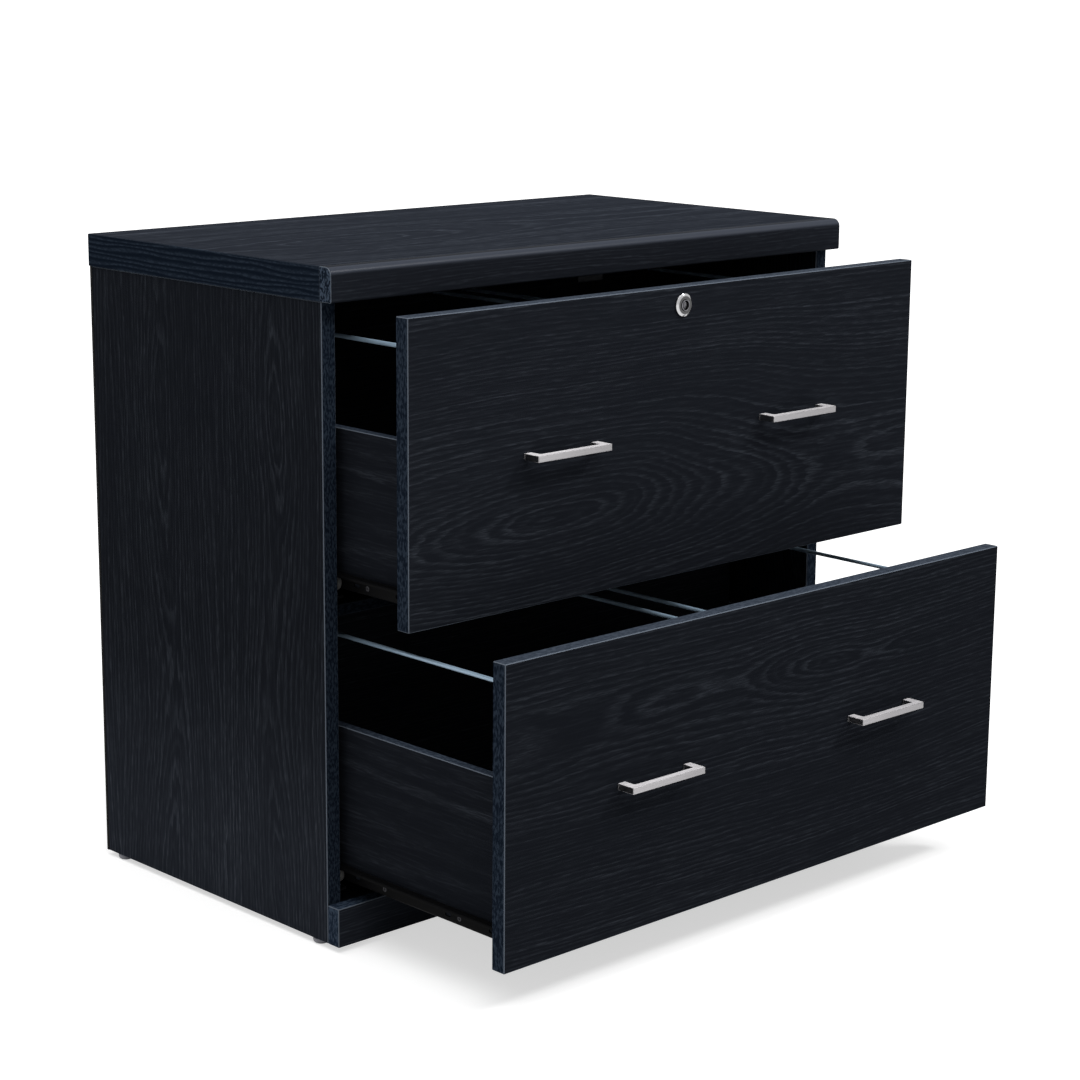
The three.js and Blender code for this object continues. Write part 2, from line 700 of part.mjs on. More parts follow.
const part = new THREE.Group();
part.add(cabinet);
export default part;
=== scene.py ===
# %% [markdown]
# # A lateral filing cabinet in dark oak-grain board
# The cabinet's construction is already made: boards, slides, rollers, rails, handles and a lock, each a
# named node in metres, with +Z up and the drawer fronts facing -Y. This lesson dresses that frame. Flat
# boards keep the shape they have and get a procedural finish. Round, rolled and pressed pieces are made
# again with smooth curves, in the place of the faceted ones.

# %% Load the frame
import math

import bmesh
import bpy
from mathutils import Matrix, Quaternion, Vector


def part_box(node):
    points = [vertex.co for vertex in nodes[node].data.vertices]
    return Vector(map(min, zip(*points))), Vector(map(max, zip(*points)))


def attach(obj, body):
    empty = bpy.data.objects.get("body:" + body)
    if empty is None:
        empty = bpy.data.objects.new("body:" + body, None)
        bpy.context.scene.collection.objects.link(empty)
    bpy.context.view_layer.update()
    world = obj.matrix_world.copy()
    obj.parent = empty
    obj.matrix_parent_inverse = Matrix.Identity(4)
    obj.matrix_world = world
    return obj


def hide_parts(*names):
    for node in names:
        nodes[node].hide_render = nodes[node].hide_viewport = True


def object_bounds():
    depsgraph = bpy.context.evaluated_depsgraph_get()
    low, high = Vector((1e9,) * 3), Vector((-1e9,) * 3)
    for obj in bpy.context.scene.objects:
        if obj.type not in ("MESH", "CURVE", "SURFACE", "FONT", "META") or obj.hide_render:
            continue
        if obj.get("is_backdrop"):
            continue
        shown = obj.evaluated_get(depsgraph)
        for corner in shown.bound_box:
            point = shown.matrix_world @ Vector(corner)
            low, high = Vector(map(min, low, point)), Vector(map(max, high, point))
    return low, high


MM = 0.001
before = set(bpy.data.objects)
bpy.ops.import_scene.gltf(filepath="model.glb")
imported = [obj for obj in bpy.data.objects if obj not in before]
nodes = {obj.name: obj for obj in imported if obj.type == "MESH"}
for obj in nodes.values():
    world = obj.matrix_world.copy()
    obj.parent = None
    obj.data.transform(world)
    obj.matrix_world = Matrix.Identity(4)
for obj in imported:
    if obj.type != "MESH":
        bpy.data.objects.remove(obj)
cad_low, cad_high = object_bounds()
DRAWERS = ("upper_drawer", "lower_drawer")
SIDES = (("left", -1), ("right", 1))
print("nodes", len(nodes), "box", [round(v, 4) for v in cad_high - cad_low])

# %% [markdown]
# ## The camera
# The picture was taken with a long lens from the front left, a little above the top. A long lens keeps
# the perspective gentle, so the far side panel looks almost as tall as the near one. The camera's place is
# a point, and its aim is a heading, a tilt down and a small roll, as a photographer would note them.

# %% Make the camera
CAMERA_PLACE = Vector((-2.036, -2.102, 1.031))
CAMERA_HEADING = math.radians(43.67)  # from +Y towards +X
CAMERA_TILT = math.radians(12.58)  # below the horizon
CAMERA_ROLL = math.radians(0.43)
LENS = 87.2  # millimetres, on a sensor 36 mm wide

aim = Vector((
    math.sin(CAMERA_HEADING) * math.cos(CAMERA_TILT),
    math.cos(CAMERA_HEADING) * math.cos(CAMERA_TILT),
    -math.sin(CAMERA_TILT),
))
camera = bpy.data.objects.new("camera", bpy.data.cameras.new("camera"))
camera.data.lens = LENS
camera.location = CAMERA_PLACE
camera.rotation_mode = "QUATERNION"
camera.rotation_quaternion = aim.to_track_quat("-Z", "Y") @ Quaternion((0, 0, 1), CAMERA_ROLL)
bpy.context.scene.collection.objects.link(camera)
bpy.context.scene.camera = camera
bpy.context.scene.view_settings.view_transform = "Standard"
print("camera", [round(v, 3) for v in camera.location], "lens", LENS)

# %% [markdown]
# ## Helpers for node trees
# Every finish below is a tree of nodes. Adding a node, setting it and feeding its inputs takes several
# lines each time, so one helper does it: it takes the node's kind and what goes into its inputs, by number
# or by name, and returns one output. Short helpers on top of it name the steps that come up most.

# %% Node helpers
def wire(tree, kind, values=(), out=0, **settings):
    """A new node with its settings and inputs filled in; gives one of its outputs."""
    made = tree.nodes.new(kind)
    for name, value in settings.items():
        setattr(made, name, value)
    pairs = values.items() if isinstance(values, dict) else enumerate(values)
    for key, value in pairs:
        if isinstance(value, bpy.types.NodeSocket):
            tree.links.new(value, made.inputs[key])
        elif value is not None:
            made.inputs[key].default_value = value
    return made.outputs[out]


def end_with(tree, kind, value):
    tree.links.new(value, tree.nodes.new(kind).inputs[0])


def calc(tree, operation, a, b=None):
    return wire(tree, "ShaderNodeMath", (a, b), operation=operation)


def smooth(tree, value, start, end, low=0.0, high=1.0):
    """Low below the start, high above the end, and a soft slope between them."""
    values = (value, start, end, low, high)
    return wire(tree, "ShaderNodeMapRange", values, interpolation_type="SMOOTHSTEP")


def split(tree, vector):
    made = tree.nodes.new("ShaderNodeSeparateXYZ")
    tree.links.new(vector, made.inputs[0])
    return list(made.outputs)


def blend(tree, factor, a, b):
    """A mix of two colours, each of them an output or (red, green, blue)."""
    first, second = [part if isinstance(part, bpy.types.NodeSocket) else (*part, 1.0) for part in (a, b)]
    # the colours of this node are its inputs 6 and 7 and its output 2
    return wire(tree, "ShaderNodeMix", {0: factor, 6: first, 7: second}, out=2, data_type="RGBA")


print("node helpers ready")

# %% [markdown]
# ## The studio
# The cabinet stands on a pale floor under one very wide, soft light from above, as under the big overhead
# box of a product studio: upper faces are clearly brighter than upright ones. A weaker, narrower key light
# from the upper right draws the thin highlights and the shadows under the handles. Both are sun lamps, which
# give the same level everywhere on the floor. The background is white because the world and the floor show
# white to the camera, and to rays that reach it by a mirror or through glass, not because more light falls
# on the cabinet. The floor keeps its own diffuse part, so the cabinet's shadow still lies on it.

# %% World
AMBIENT = 0.3  # light from all round
WHITE = (1.0, 1.0, 1.0, 1.0)

world = bpy.data.worlds.new("studio")
bpy.context.scene.world = world
world.use_nodes = True
sky = world.node_tree
sky.nodes.clear()


def seen_directly(tree):
    """1 for rays from the camera, on a straight way or by a mirror or glass, and 0 for lighting."""
    path = tree.nodes.new("ShaderNodeLightPath").outputs
    mirrored = calc(tree, "MAXIMUM", path["Is Glossy Ray"], path["Is Transmission Ray"])
    return calc(tree, "MAXIMUM", path["Is Camera Ray"], mirrored)


lighting = wire(sky, "ShaderNodeBackground", (WHITE, AMBIENT))
backdrop = wire(sky, "ShaderNodeBackground", (WHITE, 1.0))
shown = wire(sky, "ShaderNodeMixShader", (seen_directly(sky), lighting, backdrop))
end_with(sky, "ShaderNodeOutputWorld", shown)
print("world nodes", len(sky.nodes))

# %% Floor
FLOOR_HALF = 60.0  # metres
FLOOR_COLOUR = (0.66, 0.66, 0.66, 1.0)
FLOOR_GLOW = 0.6  # what lifts the lit floor to white for the camera

floor_finish = bpy.data.materials.new("pale_floor")
floor_finish.use_nodes = True
ground = floor_finish.node_tree
ground.nodes.clear()
lit = wire(ground, "ShaderNodeBsdfDiffuse", (FLOOR_COLOUR,))
glow_level = calc(ground, "MULTIPLY", seen_directly(ground), FLOOR_GLOW)
glow = wire(ground, "ShaderNodeEmission", (WHITE, glow_level))
end_with(ground, "ShaderNodeOutputMaterial", wire(ground, "ShaderNodeAddShader", (lit, glow)))


def rectangle(left, bottom, right, top):
    return [(left, bottom), (right, bottom), (right, top), (left, top)]


floor_mesh = bpy.data.meshes.new("floor")
corners = rectangle(-FLOOR_HALF, -FLOOR_HALF, FLOOR_HALF, FLOOR_HALF)
floor_mesh.from_pydata([(x, y, 0.0) for x, y in corners], [], [(0, 1, 2, 3)])
floor_mesh.materials.append(floor_finish)
floor = bpy.data.objects.new("floor", floor_mesh)
bpy.context.scene.collection.objects.link(floor)
floor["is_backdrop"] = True
print("floor", 2 * FLOOR_HALF, "m square")

# %% Lights
LIGHTS = {  # direction it comes from, strength, apparent width in degrees
    "overhead": ((-0.08, -0.25, 1.0), 2.3, 60.0),
    "key": ((0.55, -0.50, 0.67), 1.1, 10.0),
}

for name, (source, strength, width) in LIGHTS.items():
    light = bpy.data.objects.new(name, bpy.data.lights.new(name, "SUN"))
    light.data.energy = strength
    light.data.angle = math.radians(width)
    light.rotation_mode = "QUATERNION"
    light.rotation_quaternion = (-Vector(source)).to_track_quat("-Z", "Y")
    bpy.context.scene.collection.objects.link(light)
print("lights", len(LIGHTS))

# %% [markdown]
# ## Oak figure
# The boards are wrapped in a foil printed and embossed as oak. On real oak the pattern comes from growth
# rings: a board is a plane cut through a set of nested tubes, and where the cut runs close to the heart of
# the log it shows arches and closed eyes, with straight lines further out. One image of oak would show the
# same arches on every board, so the figure is made here as the tree makes it. Each point gets its distance
# from a wandering heart line, which rises through the board along a nest's reach and runs level beyond it.
# That distance, divided by the ring spacing, counts the rings. A printed foil repeats, so the place can be
# folded to and fro first, which brings the nests back in rows and columns.

# %% Distance from the heart
SWAY = (1.7, 6.5, 6.5)  # noise waves per metre: along the grain, across it and into the board
SWELL = (3.3, 11.0, 11.0)
STAGGER = (0.6, 5.0, 0.0)


def stretched_noise(tree, place, scale, detail=1.0, seed=0.0):
    stretched = wire(tree, "ShaderNodeVectorMath", (place, scale), operation="MULTIPLY")
    values = {"Vector": stretched, "W": seed, "Scale": 1.0, "Detail": detail}
    return wire(tree, "ShaderNodeTexNoise", values, noise_dimensions="4D")


def centred(tree, noise, amount):
    return calc(tree, "MULTIPLY", calc(tree, "SUBTRACT", noise, 0.5), amount)


def folded(tree, value, width):
    """The value led to and fro between half the width below zero and half of it above."""
    half = calc(tree, "MULTIPLY", width, 0.5)
    return calc(tree, "SUBTRACT", calc(tree, "PINGPONG", calc(tree, "ADD", value, half), width), half)


def heart_distance(tree, given, wave):
    """How far each point lies from the heart line."""
    along, across, into = split(tree, given["place"])
    along = folded(tree, calc(tree, "ADD", along, wave(STAGGER, "stagger", detail=0.0)), given["row"])
    across = folded(tree, across, given["column"])
    start = calc(tree, "MULTIPLY", given["reach"], -1.0)
    drop = calc(tree, "MULTIPLY", given["rise"], -1.0)
    sloped = calc(tree, "ADD", into, smooth(tree, along, start, given["reach"], drop, given["rise"]))
    below = calc(tree, "ADD", sloped, wave(SWELL, "wander"))
    beside = calc(tree, "ADD", across, wave(SWAY, "wander"))
    flat = wire(tree, "ShaderNodeCombineXYZ", (beside, below, 0.0))
    return wire(tree, "ShaderNodeVectorMath", (flat,), out=1, operation="LENGTH")


print("heart line ready")

# %% [markdown]
# Good and poor years move the count of rings and change each ring's strength. Strands are long faint lines
# between the rings, and pores are short dashes that break both up. A node group holds the whole figure,
# because every board uses it with its own heart, reach and seed.

# %% Ring lines
RING_LINE = (0.2, 0.7)  # crest and foot of a ring's line, as shares of the spacing


def ridge(tree, count, crest, foot):
    """One line for each whole number of a count: it climbs to its crest and falls to its foot."""
    phase = calc(tree, "FRACT", count)
    falling = smooth(tree, phase, crest, foot, 1.0, 0.0)
    return calc(tree, "MULTIPLY", smooth(tree, phase, 0.0, crest), falling)


print("ring line", RING_LINE)

# %% Oak figure group
FLICKER = (24.0, 230.0, 230.0)
STRAND = (20.0, 420.0, 420.0)
PORE = (65.0, 900.0, 900.0)
CLOUD = (2.6, 13.0, 13.0)
YEARS = 55.0  # waves per metre of good and poor growing years
YEAR_STRENGTH = (0.3, 1.15)  # of the weakest and the strongest ring
STRAND_EDGES = (0.45, 0.65)  # noise levels where strands start and where they are full
PORE_EDGES = (0.42, 0.66)
FAR = 20.0  # metres, a fold that no board reaches
FIGURE = {  # lengths in metres, years and flicker in rings
    "reach": 0.3, "rise": 0.02, "row": FAR, "column": FAR, "stagger": 0.0, "spacing": 3.6 * MM,
    "years": 2.8, "flicker": 1.3, "wander": 0.03, "seed": 0.0,
}


def oak_figure_group():
    tree = bpy.data.node_groups.new("oak_figure", "ShaderNodeTree")
    tree.interface.new_socket("place", in_out="INPUT", socket_type="NodeSocketVector")
    for name in FIGURE:
        tree.interface.new_socket(name, in_out="INPUT", socket_type="NodeSocketFloat")
    for name in ("Rings", "Strands", "Pores", "Cloud"):
        tree.interface.new_socket(name, in_out="OUTPUT", socket_type="NodeSocketFloat")
    given = tree.nodes.new("NodeGroupInput").outputs

    def noise(scale, detail=1.0):
        return stretched_noise(tree, given["place"], scale, detail, given["seed"])

    def wave(scale, amount, detail=1.0):
        return centred(tree, noise(scale, detail), given[amount])

    distance = heart_distance(tree, given, wave)
    values = {"W": distance, "Scale": YEARS, "Detail": 1.0}
    age = wire(tree, "ShaderNodeTexNoise", values, noise_dimensions="1D")
    count = calc(tree, "DIVIDE", distance, given["spacing"])
    count = calc(tree, "ADD", count, centred(tree, age, given["years"]))
    count = calc(tree, "ADD", count, wave(FLICKER, "flicker", detail=2.0))
    year = wire(tree, "ShaderNodeTexWhiteNoise", {"W": calc(tree, "FLOOR", count)}, noise_dimensions="1D")
    strength = smooth(tree, year, 0.0, 1.0, *YEAR_STRENGTH)
    made = {
        "Rings": calc(tree, "MULTIPLY", ridge(tree, count, *RING_LINE), strength),
        "Strands": smooth(tree, noise(STRAND), *STRAND_EDGES),
        "Pores": smooth(tree, noise(PORE), *PORE_EDGES),
        "Cloud": noise(CLOUD, detail=2.0),
    }
    ends = tree.nodes.new("NodeGroupOutput").inputs
    for name, value in made.items():
        tree.links.new(value, ends[name])
    return tree


oak_figure = oak_figure_group()
print("oak figure", len(oak_figure.nodes), "nodes")

# %% [markdown]
# ## The board finish
# A board shows three things: its two wide faces with the figure, its narrow edges under a bluer band with
# short flecks, and a thin pale line on the small chamfer where face and band meet. Two materials
# or a painted mask could tell them apart, but the surface's own direction already does: it points along the
# board's thin axis on a face, along another axis on a band, and between the two on the small chamfer. So one
# finish dresses the whole board. A few helpers come first, and the figure as a face wears it.

# %% Finish helpers
def new_finish(name):
    """An empty material: itself, its tree, and the place and direction of the surface."""
    material = bpy.data.materials.new(name)
    material.use_nodes = True
    material.node_tree.nodes.clear()
    places = material.node_tree.nodes.new("ShaderNodeTexCoord").outputs
    return material, material.node_tree, places["Object"], places["Normal"]


def relief(tree, height, depth, strength):
    """A bump, for embossing that is too fine to model."""
    return wire(tree, "ShaderNodeBump", {"Strength": strength, "Distance": depth, "Height": height})


def close_finish(tree, inputs):
    end_with(tree, "ShaderNodeOutputMaterial", wire(tree, "ShaderNodeBsdfPrincipled", inputs))


def dress(node, material):
    for slot in nodes[node].material_slots:
        slot.material = material


print("finish helpers ready")

# %% Figure on a face
RING_SHARE = 0.75  # strands make up the rest of the lines
PORE_LEFT = 0.35  # what a pore leaves of a line
DRIFT = (0.3, 0.7, 0.6, 1.15)  # two levels of the cloud, and the strength of the lines at each


def oak_face(tree, place, grain, face, heart, **settings):
    """The figure's light on a board whose grain runs along one axis and whose face looks along another."""
    parts = split(tree, place)
    moved = [calc(tree, "SUBTRACT", parts[axis], heart[axis]) for axis in (grain, 3 - grain - face, face)]
    figure = tree.nodes.new("ShaderNodeGroup")
    figure.node_tree = oak_figure
    tree.links.new(wire(tree, "ShaderNodeCombineXYZ", moved), figure.inputs["place"])
    for name, value in {**FIGURE, **settings}.items():
        figure.inputs[name].default_value = value
    rings, strands, pores, cloud = figure.outputs
    rings = calc(tree, "MULTIPLY", rings, RING_SHARE)
    lines = calc(tree, "ADD", rings, calc(tree, "MULTIPLY", strands, 1 - RING_SHARE))
    broken = calc(tree, "MULTIPLY", lines, smooth(tree, pores, 0.0, 1.0, PORE_LEFT, 1.0))
    return calc(tree, "MULTIPLY", broken, smooth(tree, cloud, *DRIFT))


print("figure inputs", ", ".join(FIGURE))

# %% [markdown]
# The band on a board's edge is a strip of its own, so it doesn't go on with the face's figure. On thin
# boards it shows short flecks. On the thick top it shows wavy lines as well, which the same flecks break up.
# Both come from noise that is finer across the band than along it.

# %% Bands
BAND_PITCH = 5.6 * MM  # between the lines of a thick board's band
BAND_LINE = (0.25, 0.85)  # crest and foot of a line, as shares of the pitch
BAND_WOBBLE = 2.2  # in lines
BAND_WAVE = (11.0, 70.0)  # waves per metre along a band and across it
BAND_FLECK = (210.0, 520.0)
FLECK_EDGES = (0.4, 0.63)
FLECK_GAP = 0.45  # what is left of a line between two flecks


def band_flecks(tree, place, face, seed):
    """Short flecks along a board's narrow edges."""
    scale = [BAND_FLECK[axis == face] for axis in range(3)]
    return smooth(tree, stretched_noise(tree, place, scale, detail=2.0, seed=seed), *FLECK_EDGES)


def band_lines(tree, place, face, seed):
    """Wavy lines along the edges of a thick board, broken up by flecks."""
    wave = [BAND_WAVE[axis == face] for axis in range(3)]
    wobble = calc(tree, "MULTIPLY", stretched_noise(tree, place, wave, seed=seed), BAND_WOBBLE)
    count = calc(tree, "ADD", calc(tree, "DIVIDE", split(tree, place)[face], BAND_PITCH), wobble)
    strength = smooth(tree, band_flecks(tree, place, face, seed), 0.0, 1.0, FLECK_GAP, 1.0)
    return calc(tree, "MULTIPLY", ridge(tree, count, *BAND_LINE), strength)


print("bands ready")

# %% [markdown]
# The finish puts face, band and pale line together. Bands that face up are painted paler, a painted sheen
# that stands in for light glancing off them, and the foot of a side panel is painted paler, a painted
# bounce of light from the floor. Lines that catch the light are raised a little too, as on the embossed
# foil.

# %% Whole board
FACE_DARK = Vector((0.0088, 0.0102, 0.0136))
FACE_LIGHT = Vector((0.0275, 0.0315, 0.0394))
BAND_DARK = Vector((0.0070, 0.0112, 0.0195))
BAND_LIGHT = Vector((0.0260, 0.0370, 0.0550))
# Paler colours for bands that face up: a painted sheen, standing in for light glancing off them.
SHEEN_DARK = (0.0290, 0.0375, 0.0520)
SHEEN_LIGHT = (0.0520, 0.0640, 0.0860)
PALE_ARRIS = (0.1150, 0.1350, 0.1650)
# The painted floor bounce on a side panel fades out at this height.
BOUNCE_HEIGHT = 0.34  # metres above the floor, where the paler foot of a side panel ends
FACING = (0.8, 0.95)  # how squarely a surface has to face an axis, from not at all to fully
FOIL_GLOSS = 0.001  # specular level of the embossed foil
FOIL_ROUGHNESS = (0.44, 0.58)
EMBOSS = 0.12 * MM
FOIL_RELIEF = 0.5
AXES = "xyz"


def board_finish(name, grain, face, heart, seed, rub=1.0, lift=1.0, foot=0.0, band=1.0, worn=1.0,
                 lined=False, gloss=FOIL_GLOSS, **settings):
    """Arris_line sets the pale chamfer line, worn the painted sheen on upper bands; lift, foot (a painted
    floor bounce) and band scale colours.
    """
    material, tree, place, normal = new_finish(name)
    grain, face = AXES.index(grain), AXES.index(face)
    figure = oak_face(tree, place, grain, face, heart, seed=seed, **settings)
    # Face colours are scaled per board: tone on most boards, painted light on the top and the plinth.
    face_colour = blend(tree, figure, lift * FACE_DARK, lift * FACE_LIGHT)
    # Towards the floor a side panel's face is painted paler: a painted bounce of light from the floor.
    if foot:
        near_floor = smooth(tree, split(tree, place)[2], 0.0, BOUNCE_HEIGHT, 1.0, 0.0)
        bounce_colour = blend(tree, figure, foot * FACE_DARK, foot * FACE_LIGHT)
        face_colour = blend(tree, near_floor, face_colour, bounce_colour)
    lines = (band_lines if lined else band_flecks)(tree, place, face, seed)
    # Band colours are scaled per board too: tone on most, painted light on the plinth and painted shade on
    # the mid rail.
    upright_colour = blend(tree, lines, band * BAND_DARK, band * BAND_LIGHT)
    # Bands that face up get these paler colours: a painted sheen.
    sheen_colour = blend(tree, lines, SHEEN_DARK, SHEEN_LIGHT)

    directions = split(tree, normal)
    sizes = [calc(tree, "ABSOLUTE", part) for part in directions]
    upward = smooth(tree, directions[2], *FACING, 0.0, worn)
    band_colour = blend(tree, upward, upright_colour, sheen_colour)
    on_face = smooth(tree, sizes[face], *FACING)
    on_band = smooth(tree, calc(tree, "MAXIMUM", sizes[grain], sizes[3 - grain - face]), *FACING)
    arris_colour = blend(tree, rub, band_colour, PALE_ARRIS)
    edge_colour = blend(tree, on_band, arris_colour, band_colour)
    close_finish(tree, {
        "Base Color": blend(tree, on_face, edge_colour, face_colour),
        "Roughness": smooth(tree, figure, 0.0, 1.0, *FOIL_ROUGHNESS),
        "Specular IOR Level": gloss,
        "Normal": relief(tree, blend(tree, on_face, lines, figure), EMBOSS, FOIL_RELIEF),
    })
    return material


print("board finish ready")

# %% [markdown]
# Each board has its own heart line, so no two show the same arches. The upper front has a long nest whose
# arches point to the right, the lower front an eye near its upper right corner, the side panels columns of
# tall narrow nests, and the low drawer sides run straight.

# %% Dress the boards
# Each side panel's foot is painted 2.2 times lighter near the floor: a painted floor bounce.
SIDE_PANEL = dict(
    grain="z", face="x", reach=0.185, rise=0.026, row=0.37, column=0.20, stagger=0.37, spacing=5.5 * MM,
    years=1.6, flicker=1.4, wander=0.05, lift=1.05, foot=2.2, band=0.82)
BOARDS = {  # hearts and reaches in metres
    "upper_drawer_front": dict(
        grain="x", face="y", heart=(-0.24, -0.18, 0.462), reach=0.60, rise=0.085, spacing=5.2 * MM,
        years=1.2, flicker=1.0, wander=0.045, seed=1.0, lift=1.14),
    "lower_drawer_front": dict(
        grain="x", face="y", heart=(0.06, -0.32, 0.285), reach=0.13, spacing=5.2 * MM, years=1.2,
        flicker=1.0, wander=0.065, seed=2.3, lift=0.9),
    "side_panel_left": dict(heart=(-0.38, 0.222, 0.52), seed=3.1, **SIDE_PANEL),
    "side_panel_right": dict(heart=(0.38, 0.160, 0.30), seed=4.7, **SIDE_PANEL),
    # The top has no gloss; its colours are raised 2.1 times instead, a painted sheen of light glancing off
    # it.
    "top_panel": dict(
        grain="x", face="z", heart=(-0.15, 0.12, 0.71), rise=0.06, spacing=13 * MM, seed=5.2,
        rub=0.1, lift=2.1, band=0.9, lined=True, gloss=0.0),
    # The plinth's face colours are raised 1.7 times and its band colours 2 times: painted light on a part
    # that sits in shade.
    "plinth": dict(
        grain="x", face="y", heart=(0.30, -0.07, 0.20), seed=6.4, lift=1.7, band=2.0, worn=0.0),
    "bottom_panel": dict(grain="x", face="z", heart=(0.00, 0.30, 0.04), seed=7.7, rub=0.3, band=0.5),
    # The mid rail's band colours are cut to 0.3: painted shade between the drawers.
    "mid_rail": dict(grain="x", face="z", heart=(0.20, 0.20, 0.36), seed=8.1, rub=0.1, band=0.3),
}
DRAWER_SIDE = dict(
    grain="y", face="x", rise=0.004, spacing=5.0 * MM, years=0.6, flicker=0.8, wander=0.012, lift=1.12,
    worn=0.5)
HEART_BELOW = 0.05  # metres from the bottom edge of a drawer side down to its heart
DRAWER_BACK = dict(grain="x", face="y")
BACK_HEART_X = -0.2
SIDE_SEED = 9.0
DRAWER_SEED_STEP = 1.7
BACK_SEED = 13.0

for number, drawer in enumerate(DRAWERS):
    low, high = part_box(f"{drawer}_side_left")
    for side, hand in SIDES:
        heart = (hand * high.x, high.y, low.z - HEART_BELOW)
        seed = SIDE_SEED + DRAWER_SEED_STEP * number + hand
        BOARDS[f"{drawer}_side_{side}"] = dict(heart=heart, seed=seed, **DRAWER_SIDE)
    low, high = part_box(f"{drawer}_back")
    heart = (BACK_HEART_X, low.y, low.z)
    BOARDS[f"{drawer}_back"] = dict(heart=heart, seed=BACK_SEED + number, **DRAWER_BACK)
for name, settings in BOARDS.items():
    dress(name, board_finish(f"oak_{name}", **settings))
print("boards dressed", len(BOARDS))

# %% [markdown]
# ## Hardboard
# The back of the cabinet and the drawer bottoms are thin hardboard. Its outer face carries the faint weave
# of the wire screen that it was pressed on, its fibres show as small flecks, and its colour clouds over a
# hand's width where the wet pulp lay thicker. Sine waves at right angles make the screen, fine noise makes
# the flecks and broad noise makes the clouds. The weave is far too fine to model, so it is a bump.

# %% Hardboard finish
HARDBOARD_DARK = (0.0085, 0.0083, 0.0086)
HARDBOARD_LIGHT = (0.0375, 0.0368, 0.0368)
HARDBOARD_GLOSS = 0.02
HARDBOARD_ROUGHNESS = (0.62, 0.8)
SCREEN_PITCH = 2.4 * MM
SCREEN_DEPTH = 0.08 * MM
SCREEN_RELIEF = 0.4
FIBRE = (420.0, 420.0, 420.0)  # noise waves per metre
FIBRE_EDGES = (0.4, 0.75)
PULP = (13.0, 13.0, 13.0)
PULP_EDGES = (0.25, 0.75)
PULP_SHARE = 0.3


def hardboard_finish():
    material, tree, place, _ = new_finish("hardboard")
    parts = split(tree, place)
    turns = [calc(tree, "SINE", calc(tree, "MULTIPLY", part, math.tau / SCREEN_PITCH)) for part in parts]
    screen = calc(tree, "ADD", calc(tree, "ADD", turns[0], turns[1]), turns[2])
    flecks = smooth(tree, stretched_noise(tree, place, FIBRE, detail=3.0), *FIBRE_EDGES)
    clouds = smooth(tree, stretched_noise(tree, place, PULP, detail=4.0), *PULP_EDGES)
    # inputs 2 and 3 of a mix node are its plain numbers
    level = wire(tree, "ShaderNodeMix", {0: PULP_SHARE, 2: flecks, 3: clouds})
    close_finish(tree, {
        "Base Color": blend(tree, level, HARDBOARD_DARK, HARDBOARD_LIGHT),
        "Roughness": smooth(tree, flecks, 0.0, 1.0, *HARDBOARD_ROUGHNESS),
        "Specular IOR Level": HARDBOARD_GLOSS,
        "Normal": relief(tree, calc(tree, "ADD", screen, flecks), SCREEN_DEPTH, SCREEN_RELIEF),
    })
    return material


hardboard = hardboard_finish()
for drawer in DRAWERS:
    dress(f"{drawer}_bottom", hardboard)
print("hardboard on", len(DRAWERS), "drawer bottoms")

# %% [markdown]
# ## Metal and plastic
# The small parts come in seven metals, one paint and two plastics. A brushed metal has fine scratches that
# run one way, a plated one is smooth with a little haze, and paint and plastic have a soft orange peel. All
# of them are one recipe: a colour, a metallic amount, a roughness that noise varies, and a bump from the
# same noise, stretched along the direction in which the piece was drawn or brushed. On some pieces the faces
# that look one way get the colour times a share, which paints light or shade on them: the upper side of a
# handle is painted lighter, a painted highlight; the face of the lock's rosette is painted darker, a painted
# dark reflection; and the plug is chrome painted dark, a painted dark reflection, with its front faces
# painted bright, a painted glint.

# %% Recipe for metal and plastic
EVEN = (900.0, 900.0, 900.0)  # noise waves per metre
BRUSHED_X = (25.0, 1300.0, 1300.0)
DRAWN_Y = (4000.0, 60.0, 4000.0)
UP = (0.0, 0.0, 1.0)
FRONT = (0.0, -1.0, 0.0)
HAZE_EDGES = (0.3, 0.7)
LOOKING_EDGES = (0.85, 0.97)
PEEL_RELIEF = 0.35
QUARTER_TURN = 0.25  # lays the streak of light across the scratches


def plain_finish(name, colour, roughness, metallic=1.0, spread=0.08, texture=EVEN, bump=0.02 * MM, shade=0.8,
                 gloss=0.5, brushed=0.0, looking=UP, share=1.0):
    material, tree, place, normal = new_finish(name)
    noise = stretched_noise(tree, place, texture, detail=3.0)
    haze = smooth(tree, noise, *HAZE_EDGES)
    colour = Vector(colour)
    common = blend(tree, haze, shade * colour, colour)
    # Faces that look one way get the colour times a share: painted light or painted shade on that side.
    painted_light_colour = blend(tree, haze, share * shade * colour, share * colour)
    facing = wire(tree, "ShaderNodeVectorMath", (normal, looking), out=1, operation="DOT_PRODUCT")
    close_finish(tree, {
        "Base Color": blend(tree, smooth(tree, facing, *LOOKING_EDGES), common, painted_light_colour),
        "Metallic": metallic,
        "Roughness": smooth(tree, noise, *HAZE_EDGES, roughness - spread, roughness + spread),
        "Specular IOR Level": gloss,
        "Anisotropic": brushed,
        "Anisotropic Rotation": QUARTER_TURN,
        "Tangent": wire(tree, "ShaderNodeCombineXYZ", (1.0, 0.0, 0.0)),
        "Normal": relief(tree, noise, bump, PEEL_RELIEF),
    })
    return material


print("recipe ready")

# %% Metal and plastic finishes
black_paint = plain_finish(
    "black_paint", (0.0036, 0.0036, 0.0040), 0.45, metallic=0.0, bump=0.03 * MM, shade=0.7, gloss=0.02)
bright_rod = plain_finish(
    "bright_rod", (0.33, 0.45, 0.57), 0.34, metallic=0.3, spread=0.06, texture=DRAWN_Y, bump=0.01 * MM,
    shade=0.92)
